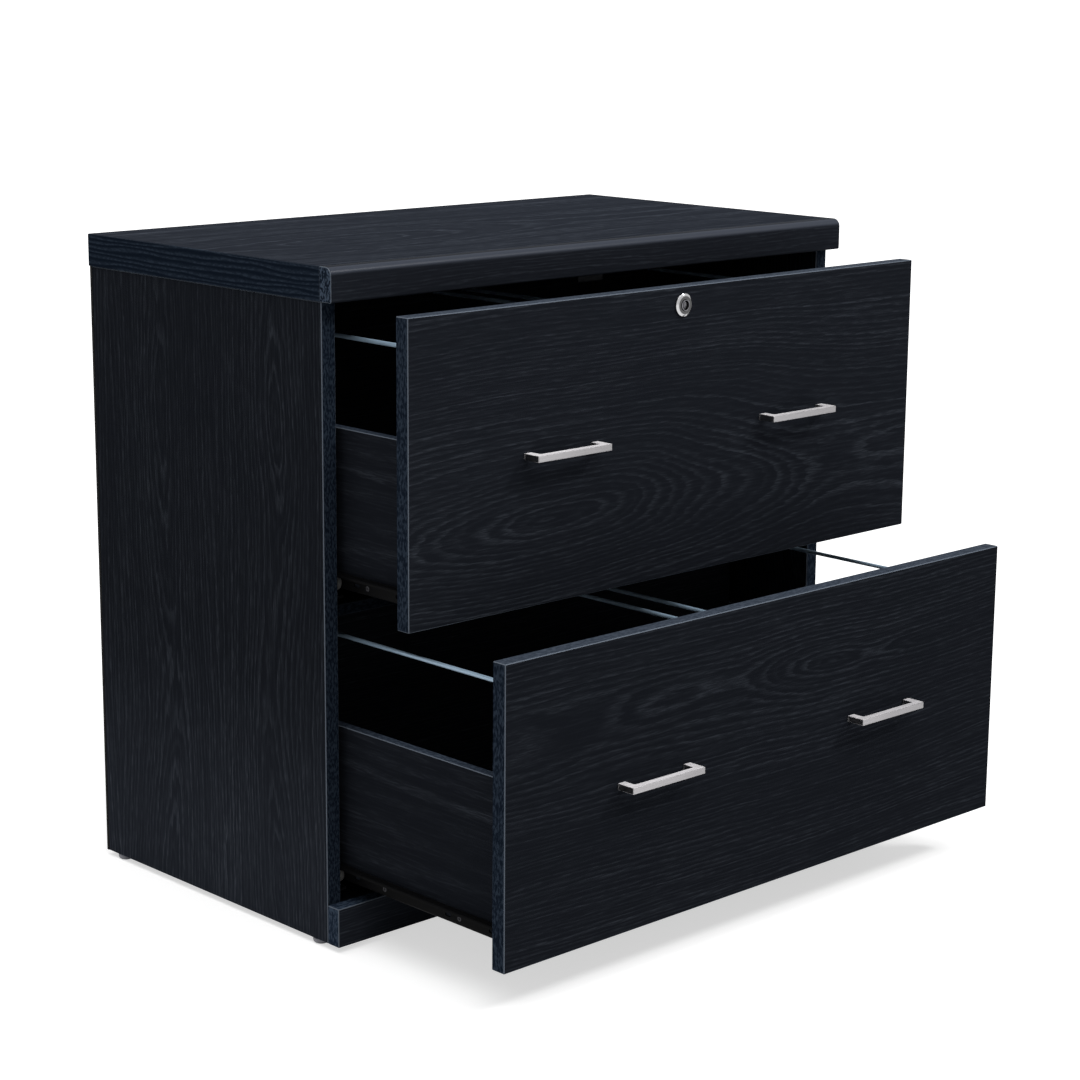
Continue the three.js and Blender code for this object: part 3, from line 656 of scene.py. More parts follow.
# A handle's upper faces are painted 1.7 times lighter: a painted highlight from the light above.
satin_nickel = plain_finish(
    "satin_nickel", (0.39, 0.38, 0.39), 0.54, spread=0.05, texture=BRUSHED_X, bump=0.012 * MM, shade=0.78,
    brushed=0.9, share=1.7)
# The rosette's front faces are painted down to 0.15 of the colour: a painted dark reflection.
chrome = plain_finish(
    "chrome", (0.50, 0.50, 0.51), 0.12, spread=0.03, bump=0.003 * MM, shade=0.97, looking=FRONT, share=0.15)
# The plug is chrome painted near black, a painted dark reflection, and its front faces are painted 7 times
# lighter, a painted glint.
burnished = plain_finish(
    "burnished", (0.025, 0.025, 0.027), 0.22, spread=0.05, bump=0.006 * MM, shade=0.9, looking=FRONT,
    share=7.0)
zinc = plain_finish("zinc", (0.50, 0.51, 0.53), 0.38)
dull_zinc = plain_finish("dull_zinc", (0.040, 0.040, 0.044), 0.42)
black_zinc = plain_finish("black_zinc", (0.014, 0.015, 0.017), 0.4)
nylon = plain_finish(
    "nylon", (0.10, 0.10, 0.098), 0.5, metallic=0.0, bump=0.03 * MM, shade=0.9, gloss=0.2)
grey_plastic = plain_finish(
    "grey_plastic", (0.30, 0.30, 0.33), 0.45, metallic=0.0, bump=0.03 * MM, shade=0.88, gloss=0.2)
print("materials so far", len(bpy.data.materials))

# %% [markdown]
# ## Helpers for round and swept pieces
# Most small parts are either turned, so a profile goes round an axis, or swept, so an outline goes along
# a line. Modifiers could do both, but lists of points keep every size in sight and leave a plain mesh. Real
# parts have no knife edges, so a corner of an outline is first replaced by a short arc.

# %% Outlines
ARC_STEPS = 16


def eased(points, radius, steps=5, closed=True):
    """The outline with each corner replaced by an arc of that radius, or less where a side is short."""
    points = [Vector(point) for point in points]
    made = []
    for i, corner in enumerate(points):
        if not closed and i in (0, len(points) - 1):
            made.append(corner)
            continue
        before = points[i - 1] - corner
        after = points[(i + 1) % len(points)] - corner
        half_angle = before.angle(after) / 2
        reach = min(radius / math.tan(half_angle), before.length / 2, after.length / 2)
        start = corner + before.normalized() * reach
        end = corner + after.normalized() * reach
        for step in range(steps + 1):
            share = step / steps
            made.append(start.lerp(corner, share).lerp(corner.lerp(end, share), share))
    return made


def arc(centre, radius, first, last):
    """Points on a circle, from one angle to another."""
    angles = [first + (last - first) * step / ARC_STEPS for step in range(ARC_STEPS + 1)]
    return [Vector(centre) + Vector((math.cos(angle), math.sin(angle))) * radius for angle in angles]


print("outline helpers ready")

# %% Meshes
WELD = 0.001 * MM  # points closer than this are one
CREASE = 40  # degrees; sharper edges stay sharp on a smooth piece


def shaded(mesh, crease=CREASE):
    mesh.shade_smooth()
    mesh.set_sharp_from_angle(angle=math.radians(crease))
    return mesh


def finished_mesh(name, points, faces):
    """A smooth mesh with its double points merged and its faces turned outwards."""
    mesh = bpy.data.meshes.new(name)
    mesh.from_pydata([tuple(point) for point in points], [], faces)
    shell = bmesh.new()
    shell.from_mesh(mesh)
    bmesh.ops.remove_doubles(shell, verts=shell.verts, dist=WELD)
    bmesh.ops.recalc_face_normals(shell, faces=shell.faces)
    shell.to_mesh(mesh)
    shell.free()
    return shaded(mesh)


def swept(name, outline, place, start, end):
    """A closed outline carried from start to end; place turns (a, b, distance) into a point."""
    count = len(outline)
    points = [place(a, b, distance) for distance in (start, end) for a, b in outline]
    faces = [(i, (i + 1) % count, (i + 1) % count + count, i + count) for i in range(count)]
    faces += [tuple(range(count)), tuple(range(count, 2 * count))]
    return finished_mesh(name, points, faces)


def turned(name, profile, centre, axis, steps=64, ring=False):
    """A profile of (radius, distance) points carried round an axis through centre."""
    axis = Vector(axis)
    side = axis.orthogonal().normalized()
    other = axis.cross(side)
    points = []
    for step in range(steps):
        angle = math.tau * step / steps
        outward = side * math.cos(angle) + other * math.sin(angle)
        points += [Vector(centre) + outward * radius + axis * distance for radius, distance in profile]
    count = len(profile)
    spans = count if ring else count - 1
    faces = []
    for step in range(steps):
        here, there = step * count, (step + 1) % steps * count
        for i in range(spans):
            j = (i + 1) % count
            faces.append((here + i, here + j, there + j, there + i))
    return finished_mesh(name, points, faces)


print("mesh helpers ready")

# %% [markdown]
# A finished piece becomes an object at the origin that rides on one of the frame's bodies, wears one finish,
# and may stand in for nodes of the frame. The rims of a swept piece can be bevelled first.

# %% Pieces
ROUND_PROFILE = 0.5


def ease_rims(mesh, axis, offset, segments):
    """Rounds the edges that lie square to an axis: the rims of a piece that was swept along it."""
    shell = bmesh.new()
    shell.from_mesh(mesh)
    rims = []
    for edge in shell.edges:
        start, end = edge.verts
        if abs(start.co[axis] - end.co[axis]) < WELD:
            rims.append(edge)
    bmesh.ops.bevel(
        shell, geom=rims, offset=offset, segments=segments, profile=ROUND_PROFILE, affect="EDGES")
    shell.to_mesh(mesh)
    shell.free()


def add_piece(mesh, material, body, replaced=()):
    mesh.materials.clear()
    mesh.materials.append(material)
    piece = bpy.data.objects.new(mesh.name, mesh)
    bpy.context.scene.collection.objects.link(piece)
    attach(piece, body)
    if replaced:
        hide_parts(*replaced)


print("piece helpers ready")

# %% [markdown]
# ## The nosing
# A strip with a rounded upper edge closes the front of the top. It catches a long highlight, so it is swept
# again with a finer arc. Its foil is pulled hot over the edge, which flattens the embossing there, so the
# rounding shines as under a clear coat and the faces do not. The rounding is also painted paler and bluer, a
# painted highlight. Its two cut ends show a mottled core with a pale rim.

# %% Nosing finish
NOSING_HEART = (0.25, -0.07, 0.64)
NOSING_LIFT = 1.4
NOSING_FAINT = 0.6  # of the figure that a flat board shows
NOSING_RELIEF = 0.3
ROUND_START = (0.1, 0.5)  # how far up the foil faces where the rounding comes in
ROUND_END = (0.93, 0.998)  # and where it fades into the level top
# Paler, bluer colour on the rounding: a painted highlight.
PAINTED_ROUND_HIGHLIGHT = (0.0360, 0.0420, 0.0570)
ROUND_COAT = 0.16
COAT_ROUGHNESS = 0.3
FLAT_GLOSS = 0.002
END_START = (0.3, 0.5)  # how far sideways the rim of a cut end faces
END_FLAT = (0.85, 0.97)  # and its flat core
END_MOTTLE = (420.0, 420.0, 280.0)  # noise waves per metre
MOTTLE_EDGES = (0.42, 0.6)
CORE_PALE = (0.0560, 0.0780, 0.1120)


def nosing_finish():
    material, tree, place, normal = new_finish("oak_nosing")
    settings = dict(rise=0.01, spacing=4.5 * MM, wander=0.05, seed=21.0)
    figure = oak_face(tree, place, AXES.index("x"), AXES.index("y"), NOSING_HEART, **settings)
    faint = calc(tree, "MULTIPLY", figure, NOSING_FAINT)
    sideways, _, upward = split(tree, normal)
    ends = calc(tree, "ABSOLUTE", sideways)
    level = smooth(tree, upward, *ROUND_END, 1.0, 0.0)
    rounding = calc(tree, "MULTIPLY", smooth(tree, upward, *ROUND_START), level)
    mottle = stretched_noise(tree, place, END_MOTTLE, detail=2.0, seed=3.0)
    mottle = smooth(tree, mottle, *MOTTLE_EDGES)
    core = blend(tree, mottle, BAND_DARK, CORE_PALE)
    cut = blend(tree, smooth(tree, ends, *END_FLAT), PALE_ARRIS, core)
    wrapped = blend(tree, faint, NOSING_LIFT * FACE_DARK, NOSING_LIFT * FACE_LIGHT)
    # The rounding gets the painted highlight colour.
    highlighted = blend(tree, rounding, wrapped, PAINTED_ROUND_HIGHLIGHT)
    close_finish(tree, {
        "Base Color": blend(tree, smooth(tree, ends, *END_START), highlighted, cut),
        "Roughness": smooth(tree, figure, 0.0, 1.0, *FOIL_ROUGHNESS),
        "Specular IOR Level": FLAT_GLOSS,
        "Coat Weight": calc(tree, "MULTIPLY", rounding, ROUND_COAT),
        "Coat Roughness": COAT_ROUGHNESS,
        "Normal": relief(tree, faint, EMBOSS, NOSING_RELIEF),
    })
    return material


oak_nosing = nosing_finish()
print("nosing finish", len(oak_nosing.node_tree.nodes), "nodes")

# %% Nosing
NOSING_ROUND = 9 * MM
NOSING_LOWER_ROUND = 2 * MM
NOSING_END_ROUND = 0.6 * MM

low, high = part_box("top_nosing")
upper_centre = (low.y + NOSING_ROUND, high.z - NOSING_ROUND)
lower_centre = (low.y + NOSING_LOWER_ROUND, low.z + NOSING_LOWER_ROUND)
outline = [(high.y, low.z), (high.y, high.z)]
outline += arc(upper_centre, NOSING_ROUND, math.pi / 2, math.pi)
outline += arc(lower_centre, NOSING_LOWER_ROUND, math.pi, 1.5 * math.pi)
nosing = swept("front_nosing", outline, lambda y, z, x: (x, y, z), low.x, high.x)
ease_rims(nosing, AXES.index("x"), NOSING_END_ROUND, segments=2)
add_piece(nosing, oak_nosing, "carcase", ("top_nosing",))
print("nosing", len(nosing.polygons), "faces")

# %% [markdown]
# ## Handles
# Each drawer has two bar handles bent as a square U. In plan the outer corners are almost sharp and the
# inner ones have a small radius. The plan is drawn once, swept up by the bar's height, and its long edges
# are eased so that they catch a line of light.

# %% Handles
HANDLE_LEG = 10 * MM
HANDLE_BAR = 8 * MM
HANDLE_OUTER_ROUND = 1.2 * MM
HANDLE_INNER_ROUND = 2 * MM
HANDLE_EASE = 0.5 * MM


def u_shape(half, back, front):
    return [(-half, back), (-half, front), (half, front), (half, back)]


def handle_mesh(name, node):
    low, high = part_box(node)
    half = (high.x - low.x) / 2
    centre = (low.x + high.x) / 2
    outside = u_shape(half, high.y, low.y)
    inside = u_shape(half - HANDLE_LEG, high.y, low.y + HANDLE_BAR)
    plan = eased(outside, HANDLE_OUTER_ROUND, closed=False)
    plan += eased(inside[::-1], HANDLE_INNER_ROUND, closed=False)
    mesh = swept(name, plan, lambda x, y, z: (centre + x, y, z), low.z, high.z)
    ease_rims(mesh, AXES.index("z"), HANDLE_EASE, segments=3)
    return mesh


for drawer in DRAWERS:
    for side, _ in SIDES:
        mesh = handle_mesh(f"{drawer}_bar_pull_{side}", f"{drawer}_handle_{side}")
        add_piece(mesh, satin_nickel, drawer, (f"{drawer}_handle_{side}",))
print("handles", 2 * len(DRAWERS), "with", len(mesh.polygons), "faces each")

# %% [markdown]
# ## File rails
# Four bright rods in each drawer carry hanging folders. All of them are the same rod along a straight line,
# so Geometry Nodes make them: a mesh of bare edges, one for each rod, becomes curves, and a circle swept
# along the curves becomes the rods. The result is turned into a plain mesh, one for each drawer.

# %% Geometry Nodes helpers
def node_tree(name, inputs):
    tree = bpy.data.node_groups.new(name, "GeometryNodeTree")
    tree.interface.new_socket("Geometry", in_out="INPUT", socket_type="NodeSocketGeometry")
    for socket_name, kind in inputs:
        tree.interface.new_socket(socket_name, in_out="INPUT", socket_type=kind)
    tree.interface.new_socket("Geometry", in_out="OUTPUT", socket_type="NodeSocketGeometry")
    return tree, tree.nodes.new("NodeGroupInput").outputs


def close_tree(tree, geometry, material):
    real = wire(tree, "GeometryNodeRealizeInstances", {"Geometry": geometry})
    dressed = wire(tree, "GeometryNodeSetMaterial", {"Geometry": real, "Material": material})
    end_with(tree, "NodeGroupOutput", dressed)
    print("tree", tree.name, len(tree.nodes), "nodes")


def run_tree(name, seed_mesh, tree, values):
    """The tree's result on a mesh, as a plain mesh of its own."""
    worker = bpy.data.objects.new(f"{name}_worker", seed_mesh)
    bpy.context.scene.collection.objects.link(worker)
    modifier = worker.modifiers.new(name, "NODES")
    modifier.node_group = tree
    for item in tree.interface.items_tree:
        if item.in_out == "INPUT" and item.name in values:
            modifier[item.identifier] = values[item.name]
    depsgraph = bpy.context.evaluated_depsgraph_get()
    made = bpy.data.meshes.new_from_object(worker.evaluated_get(depsgraph), depsgraph=depsgraph)
    made.name = name
    worker.modifiers.remove(modifier)
    bpy.data.objects.remove(worker)
    return made


print("tree helpers ready")

# %% File rails
ROD_SIDES = 24
RAIL_PLACES = ("left", "middle_left", "middle_right", "right")

rods, given = node_tree("rods_along_edges", [
    ("Radius", "NodeSocketFloat"), ("Sides", "NodeSocketInt"), ("Material", "NodeSocketMaterial"),
])
curves = wire(rods, "GeometryNodeMeshToCurve", {"Mesh": given["Geometry"]})
round_size = {"Resolution": given["Sides"], "Radius": given["Radius"]}
circle = wire(rods, "GeometryNodeCurvePrimitiveCircle", round_size)
parts = {"Curve": curves, "Profile Curve": circle, "Fill Caps": True}
close_tree(rods, wire(rods, "GeometryNodeCurveToMesh", parts), given["Material"])

for drawer in DRAWERS:
    rail_nodes = [f"{drawer}_file_rail_{place}" for place in RAIL_PLACES]
    points = []
    for node in rail_nodes:
        low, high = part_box(node)
        middle = (low + high) / 2
        points += [(middle.x, low.y, middle.z), (middle.x, high.y, middle.z)]
    lines = bpy.data.meshes.new(f"{drawer}_rail_lines")
    lines.from_pydata(points, [(i, i + 1) for i in range(0, len(points), 2)], [])
    values = {"Radius": (high.x - low.x) / 2, "Sides": ROD_SIDES, "Material": bright_rod}
    mesh = shaded(run_tree(f"{drawer}_rods", lines, rods, values))
    add_piece(mesh, bright_rod, drawer, rail_nodes)
    print(drawer, "rods", len(mesh.polygons), "faces")

# %% [markdown]
# ## Rollers
# Each slide runs on two nylon rollers: one on the carcase in front, one on the drawer behind. A roller is
# turned: a flat tread with rounded shoulders, a shallow dish in each face, and a bore for its stud. Both
# faces are the same, so one half of the profile is drawn and mirrored.

# %% Rollers
ROLLER_BORE = 2.75 * MM
ROLLER_SHOULDER = 0.9 * MM
ROLLER_DISH = 0.6 * MM
ROLLER_HUB = 4.6 * MM
ROLLER_RIM = 6.9 * MM

for drawer in DRAWERS:
    for end in ("front", "rear"):
        for side, _ in SIDES:
            node = f"{drawer}_{end}_roller_{side}"
            low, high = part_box(node)
            half = (high.x - low.x) / 2
            tread = (high.z - low.z) / 2
            one_face = [
                (ROLLER_BORE, half), (ROLLER_HUB, half), (ROLLER_HUB + ROLLER_DISH, half - ROLLER_DISH),
                (ROLLER_RIM, half - ROLLER_DISH), (ROLLER_RIM + ROLLER_DISH, half), (tread, half),
            ]
            rough = [(radius, -x) for radius, x in one_face] + one_face[::-1]
            profile = eased(rough, ROLLER_SHOULDER, steps=3)
            mesh = turned(f"{node}_turned", profile, (low + high) / 2, (1, 0, 0), ring=True)
            add_piece(mesh, nylon, node, (node,))
print("rollers", 4 * len(DRAWERS), "with", len(mesh.polygons), "faces each")

# %% [markdown]
# ## The lock
# A cam lock sits at the top of the upper drawer: a chromed rosette with a conical bevel, a plug with a key
# slot, and behind the front a nut and a cam. The rosette and the plug are turned. The key slot is sunk into
# the plug's face by a boolean cut, because its square walls have to stay sharp.

# %% Lock rosette
LOCK_BORE_RADIUS = 6.3 * MM
LOCK_BARREL_RADIUS = 9 * MM
ROSETTE_HEIGHT = 3.2 * MM
ROSETTE_FACE_RADIUS = 9.6 * MM
ROSETTE_EASE = 0.5 * MM
ALONG_Y = (0, 1, 0)

low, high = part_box("lock_housing")
lock_centre = Vector(((low.x + high.x) / 2, 0.0, (low.z + high.z) / 2))
rosette_radius = (high.x - low.x) / 2
face_y, back_y = low.y, low.y + ROSETTE_HEIGHT
rough = [
    (LOCK_BORE_RADIUS, face_y), (ROSETTE_FACE_RADIUS, face_y), (rosette_radius, face_y + ROSETTE_HEIGHT / 2),
    (rosette_radius, back_y), (LOCK_BARREL_RADIUS, back_y), (LOCK_BARREL_RADIUS, high.y),
    (LOCK_BORE_RADIUS, high.y),
]
profile = eased(rough, ROSETTE_EASE, steps=4)
housing = turned("lock_rosette", profile, lock_centre, ALONG_Y, steps=96, ring=True)
add_piece(housing, chrome, "upper_drawer", ("lock_housing",))
print("lock rosette", len(housing.polygons), "faces")

# %% Lock plug
LOCK_PLUG_RADIUS = 6 * MM
PLUG_RIM_RADIUS = 5.16 * MM
PLUG_DISH_RADIUS = 4.2 * MM
PLUG_DISH = 3 * MM
PLUG_EASE = 0.3 * MM
KEY_SLOT = (1.5 * MM, 7 * MM, 20 * MM)  # width, length, depth


def carve(mesh, cutter):
    """The mesh with the cutter taken out of it; both are used up."""
    name = mesh.name
    body = bpy.data.objects.new("carved_body", mesh)
    tool = bpy.data.objects.new("carving_tool", cutter)
    for made in (body, tool):
        bpy.context.scene.collection.objects.link(made)
    modifier = body.modifiers.new("carve", "BOOLEAN")
    modifier.operation = "DIFFERENCE"
    modifier.solver = "EXACT"
    modifier.object = tool
    depsgraph = bpy.context.evaluated_depsgraph_get()
    result = bpy.data.meshes.new_from_object(body.evaluated_get(depsgraph), depsgraph=depsgraph)
    for made in (body, tool):
        bpy.data.objects.remove(made)
    for used in (mesh, cutter):
        bpy.data.meshes.remove(used)
    result.name = name
    return shaded(result)


low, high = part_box("lock_plug")
tang_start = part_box("lock_housing")[1].y
rough = [
    (0.0, low.y + PLUG_DISH), (PLUG_DISH_RADIUS, low.y + PLUG_DISH), (PLUG_RIM_RADIUS, low.y),
    (LOCK_PLUG_RADIUS, low.y), (LOCK_PLUG_RADIUS, tang_start), (0.0, tang_start),
]
profile = eased(rough, PLUG_EASE, steps=3, closed=False)
plug = turned("lock_core_plug", profile, lock_centre, ALONG_Y)
width, length, depth = KEY_SLOT
slot_outline = rectangle(-width / 2, -length / 2, width / 2, length / 2)


def on_lock(a, b, y):
    """A point beside and above the lock's axis."""
    return (lock_centre.x + a, y, lock_centre.z + b)


plug = carve(plug, swept("key_slot", slot_outline, on_lock, low.y - depth, low.y + depth))
add_piece(plug, burnished, "lock_core", ("lock_plug",))
print("lock plug", len(plug.polygons), "faces")

# %% [markdown]
# Behind the front, a six-sided nut clamps the lock's barrel, and a flat cam turns with the plug. Both are
# cut from plate, so each is an outline swept by the plate's thickness, and a turned tool bores the nut.

# %% Lock nut and cam
LOCK_EASE = 0.3 * MM
CAM_HALF = 6 * MM
CAM_EASE = 1 * MM
OVERCUT = 1 * MM  # how far a cutting tool reaches past a piece
HEXAGON = [(math.cos(i * math.pi / 3), math.sin(i * math.pi / 3)) for i in range(6)]

low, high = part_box("lock_nut")
corner_radius = (high.x - low.x) / 2
corners = [(corner_radius * a, corner_radius * b) for a, b in HEXAGON]
nut = swept("lock_ring_nut", eased(corners, LOCK_EASE, steps=3), on_lock, low.y, high.y)
bore = rectangle(0.0, low.y - OVERCUT, LOCK_BARREL_RADIUS + LOCK_EASE, high.y + OVERCUT)
nut = carve(nut, turned("bore", bore, lock_centre, ALONG_Y))
add_piece(nut, zinc, "upper_drawer", ("lock_nut",))

low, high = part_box("lock_cam")
reach = high.x - lock_centre.x
arm = [(0.0, -CAM_HALF), (reach, -CAM_HALF), (reach, CAM_HALF), (0.0, CAM_HALF)]
arm = arc((0, 0), CAM_HALF, math.pi / 2, 1.5 * math.pi) + eased(arm, CAM_EASE, closed=False)[1:-1]
cam = swept("lock_arm", arm, on_lock, low.y, high.y)
add_piece(cam, zinc, "lock_core", ("lock_cam",))
print("nut", len(nut.polygons), "faces, cam", len(cam.polygons), "faces")

# %% [markdown]
# ## The strike
# Under the top hangs a small angle of plated steel that the cam catches behind. It is one strip with a
# rounded bend, so its section is drawn as a bent line and given a thickness.

# %% Strike
STRIKE_STEEL = 1.2 * MM
STRIKE_BEND = 1.2 * MM


def strip_section(path, thickness, bend):
    """The outline of a bent strip: a line with eased corners, moved half the thickness to each side."""
    line = eased(path, bend, closed=False)
    sides = ([], [])
    for i, point in enumerate(line):
        direction = line[min(i + 1, len(line) - 1)] - line[max(i - 1, 0)]
        across = Vector((-direction.y, direction.x)).normalized() * thickness / 2
        sides[0].append(point + across)
        sides[1].append(point - across)
    return sides[0] + sides[1][::-1]


low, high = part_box("lock_strike")
middle_y, middle_z = low.y + STRIKE_STEEL / 2, high.z - STRIKE_STEEL / 2
path = [(middle_y, low.z), (middle_y, middle_z), (high.y, middle_z)]
bent = strip_section(path, STRIKE_STEEL, STRIKE_BEND)
strike = swept("strike_angle", bent, lambda y, z, x: (x, y, z), low.x, high.x)
add_piece(strike, black_zinc, "carcase", ("lock_strike",))
print("strike", len(strike.polygons), "faces")

# %% [markdown]
# ## Glides
# The cabinet stands on four nail-in glides. Each is turned: a flat tread, a domed edge, a straight rim and
# the nail that holds it in the side panel.

# %% Glides
GLIDE_HEIGHT = 6 * MM
GLIDE_TREAD = 5 * MM
GLIDE_RIM = 2 * MM
GLIDE_NAIL = 1.4 * MM

for end in ("front", "back"):
    for side, _ in SIDES:
        node = f"glide_{end}_{side}"
        low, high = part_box(node)
        radius = (high.x - low.x) / 2
        profile = [(0.0, 0.0)]
        for step in range(ARC_STEPS + 1):
            angle = math.pi / 2 * step / ARC_STEPS
            bulge = GLIDE_TREAD + (radius - GLIDE_TREAD) * math.sin(angle)
            profile.append((bulge, (GLIDE_HEIGHT - GLIDE_RIM) * (1 - math.cos(angle))))
        profile += [(radius, GLIDE_HEIGHT), (GLIDE_NAIL, GLIDE_HEIGHT), (GLIDE_NAIL, high.z), (0.0, high.z)]
        centre = Vector(((low.x + high.x) / 2, (low.y + high.y) / 2, 0.0))
        mesh = turned(f"{node}_domed", profile, centre, UP, steps=48)
        add_piece(mesh, grey_plastic, "carcase", (node,))
print("glides 4 with", len(mesh.polygons), "faces each")

# %% [markdown]
# ## Roller slides
# Each slide is two strips of steel, rolled to shape and painted black. The carcase half is a channel that
# the rear roller runs in, with its roof cut away in front, where its own roller stands. The drawer half
# wraps the bottom edge of the drawer side and has a flange that rolls on the front roller. Rolled steel has
# no sharp bends, so each section is a bent line with rounded corners, given a thickness and swept along the
# drawer. Screw holes, the slots for adjusting and the open mouth are carved out of it afterwards, the holes
# and slots of a strip by one joined tool.

# %% Holes and slots
SLIDE_STEEL = 1.2 * MM
SLIDE_BEND = 1.3 * MM
SCREW_HOLE = 2.9 * MM
SLOT_LENGTH = 9 * MM
SLOT_WIDTH = 4 * MM


def joined(name, meshes):
    """One mesh of several, which are used up."""
    shell = bmesh.new()
    for mesh in meshes:
        shell.from_mesh(mesh)
        bpy.data.meshes.remove(mesh)
    result = bpy.data.meshes.new(name)
    shell.to_mesh(result)
    shell.free()
    return result


def across_x(name, outline, centre, half_width):
    """A tool that cuts an outline in (y, z) through everything near centre."""
    return swept(name, outline, lambda y, z, x: (x, centre.y + y, centre.z + z),
                 centre.x - half_width, centre.x + half_width)


def round_outline(radius, stretch=0.0, steps=24):
    """A circle, or a slot with round ends when it is stretched along y."""
    made = []
    for step in range(steps):
        angle = math.tau * (step + 0.5) / steps
        shift = math.copysign(stretch / 2, math.cos(angle))
        made.append((radius * math.cos(angle) + shift, radius * math.sin(angle)))
    return made


def pierced(mesh, web, screws, slots):
    """The strip with screw holes and adjusting slots through its web, at those distances from its front."""
    hole = round_outline(SCREW_HOLE)
    slot = round_outline(SLOT_WIDTH / 2, SLOT_LENGTH - SLOT_WIDTH)
    cuts = [(hole, y) for y in screws] + [(slot, y) for y in slots]
    tools = [across_x("cut", outline, web + Vector((0, y, 0)), SLIDE_STEEL) for outline, y in cuts]
    return carve(mesh, joined("cuts", tools))


print("hole and slot helpers ready")

# %% [markdown]
# The stud of a roller is riveted into its strip, so it is turned and joined to the strip's mesh. The channel
# also has a tab bent down from its roof, which stops the rear roller when the drawer is fully open. The
# places of the screws are noted on the way, for the heads that are added later.

# %% Roller studs
STUD_RADIUS = 2.5 * MM
STUD_COLLAR = 4 * MM
STUD_HEAD = 0.7 * MM
STUD_GAP = 0.3 * MM
STUD_EASE = 0.2 * MM


def stud_mesh(web_x, roller):
    """The stud that a roller turns on, from the middle of a web to the head outside the roller."""
    low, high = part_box(roller)
    middle = (low + high) / 2
    outward = math.copysign(1.0, middle.x - web_x)
    ends = sorted((low.x - web_x, high.x - web_x), key=abs)
    near, far = abs(ends[0]) - STUD_GAP, abs(ends[1]) + STUD_GAP
    rough = [
        (0.0, 0.0), (STUD_COLLAR, 0.0), (STUD_COLLAR, near), (STUD_RADIUS, near), (STUD_RADIUS, far),
        (STUD_COLLAR, far), (STUD_COLLAR, far + STUD_HEAD), (0.0, far + STUD_HEAD),
    ]
    profile = eased(rough, STUD_EASE, steps=2, closed=False)
    return turned("stud", profile, (web_x, middle.y, middle.z), (outward, 0, 0), steps=32)


print("stud radius", STUD_RADIUS)

# %% Carcase channels
CHANNEL_DEPTH = 9 * MM
CHANNEL_LIP = 2.8 * MM
MOUTH_LENGTH = 24 * MM
MOUTH_SILL = 4 * MM
STOP_TAB_START = 57 * MM
STOP_TAB_LENGTH = 3 * MM
STOP_TAB_DROP = 10.5 * MM
STOP_TAB_EASE = 0.5 * MM
CHANNEL_SCREWS = (38 * MM, 165 * MM, 305 * MM)  # from the channel's front end
CHANNEL_SLOTS = (100 * MM, 235 * MM)

screw_places = {body: [] for body in ("carcase", *DRAWERS)}  # (point, direction that the head faces)
half_steel = SLIDE_STEEL / 2
lip_middle = CHANNEL_DEPTH - half_steel
tab_outline = eased(rectangle(0.0, 0.0, STOP_TAB_LENGTH, STOP_TAB_DROP), STOP_TAB_EASE, steps=3)
for drawer in DRAWERS:
    for side, hand in SIDES:
        node = f"{drawer}_channel_{side}"
        low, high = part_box(node)
        wall = max(abs(low.x), abs(high.x))
        height = high.z - low.z
        path = [
            (lip_middle, CHANNEL_LIP), (lip_middle, half_steel), (half_steel, half_steel),
            (half_steel, height - half_steel), (lip_middle, height - half_steel),
            (lip_middle, height - CHANNEL_LIP),
        ]
        mesh = swept(f"{drawer}_rolled_channel_{side}", strip_section(path, SLIDE_STEEL, SLIDE_BEND),
                     lambda a, b, y: (hand * (wall - a), y, low.z + b), low.y, high.y)
        mouth = rectangle(low.y - OVERCUT, MOUTH_SILL, low.y + MOUTH_LENGTH, height + OVERCUT)
        mesh = carve(mesh, swept("mouth", mouth, lambda y, b, a: (hand * (wall - a), y, low.z + b),
                                 SLIDE_STEEL, 2 * CHANNEL_DEPTH))
        web = Vector((hand * (wall - half_steel), low.y, low.z + height / 2))
        mesh = pierced(mesh, web, CHANNEL_SCREWS, CHANNEL_SLOTS)
        for offset in CHANNEL_SCREWS:
            screw_places["carcase"].append((web + Vector((-hand * half_steel, offset, 0)), (-hand, 0, 0)))
        rear_low, rear_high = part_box(f"{drawer}_rear_roller_{side}")
        tab_start, tab_end = sorted((abs(rear_low.x), abs(rear_high.x)))
        tab_y, tab_z = low.y + STOP_TAB_START, high.z - half_steel
        tab = swept("tab", tab_outline, lambda y, b, x: (hand * x, tab_y + y, tab_z - b), tab_start, tab_end)
        stud = stud_mesh(web.x, f"{drawer}_front_roller_{side}")
        add_piece(joined(mesh.name, [mesh, tab, stud]), black_paint, "carcase", (node,))
print("channels", len(screw_places["carcase"]), "screw holes")

# %% Drawer slides
FLANGE_DROP = 16.9 * MM  # middle of the lower flange below the top of the profile
WEB_INSET = 9.7 * MM  # middle of the web inside the outer edge of the flange
FLANGE_LIP = 3.1 * MM
SLIDE_SCREW_DROP = 10 * MM
SLIDE_SCREWS = (79 * MM, 196 * MM, 300 * MM)  # from the profile's front end
SLIDE_SLOTS = (30 * MM, 96 * MM, 240 * MM)

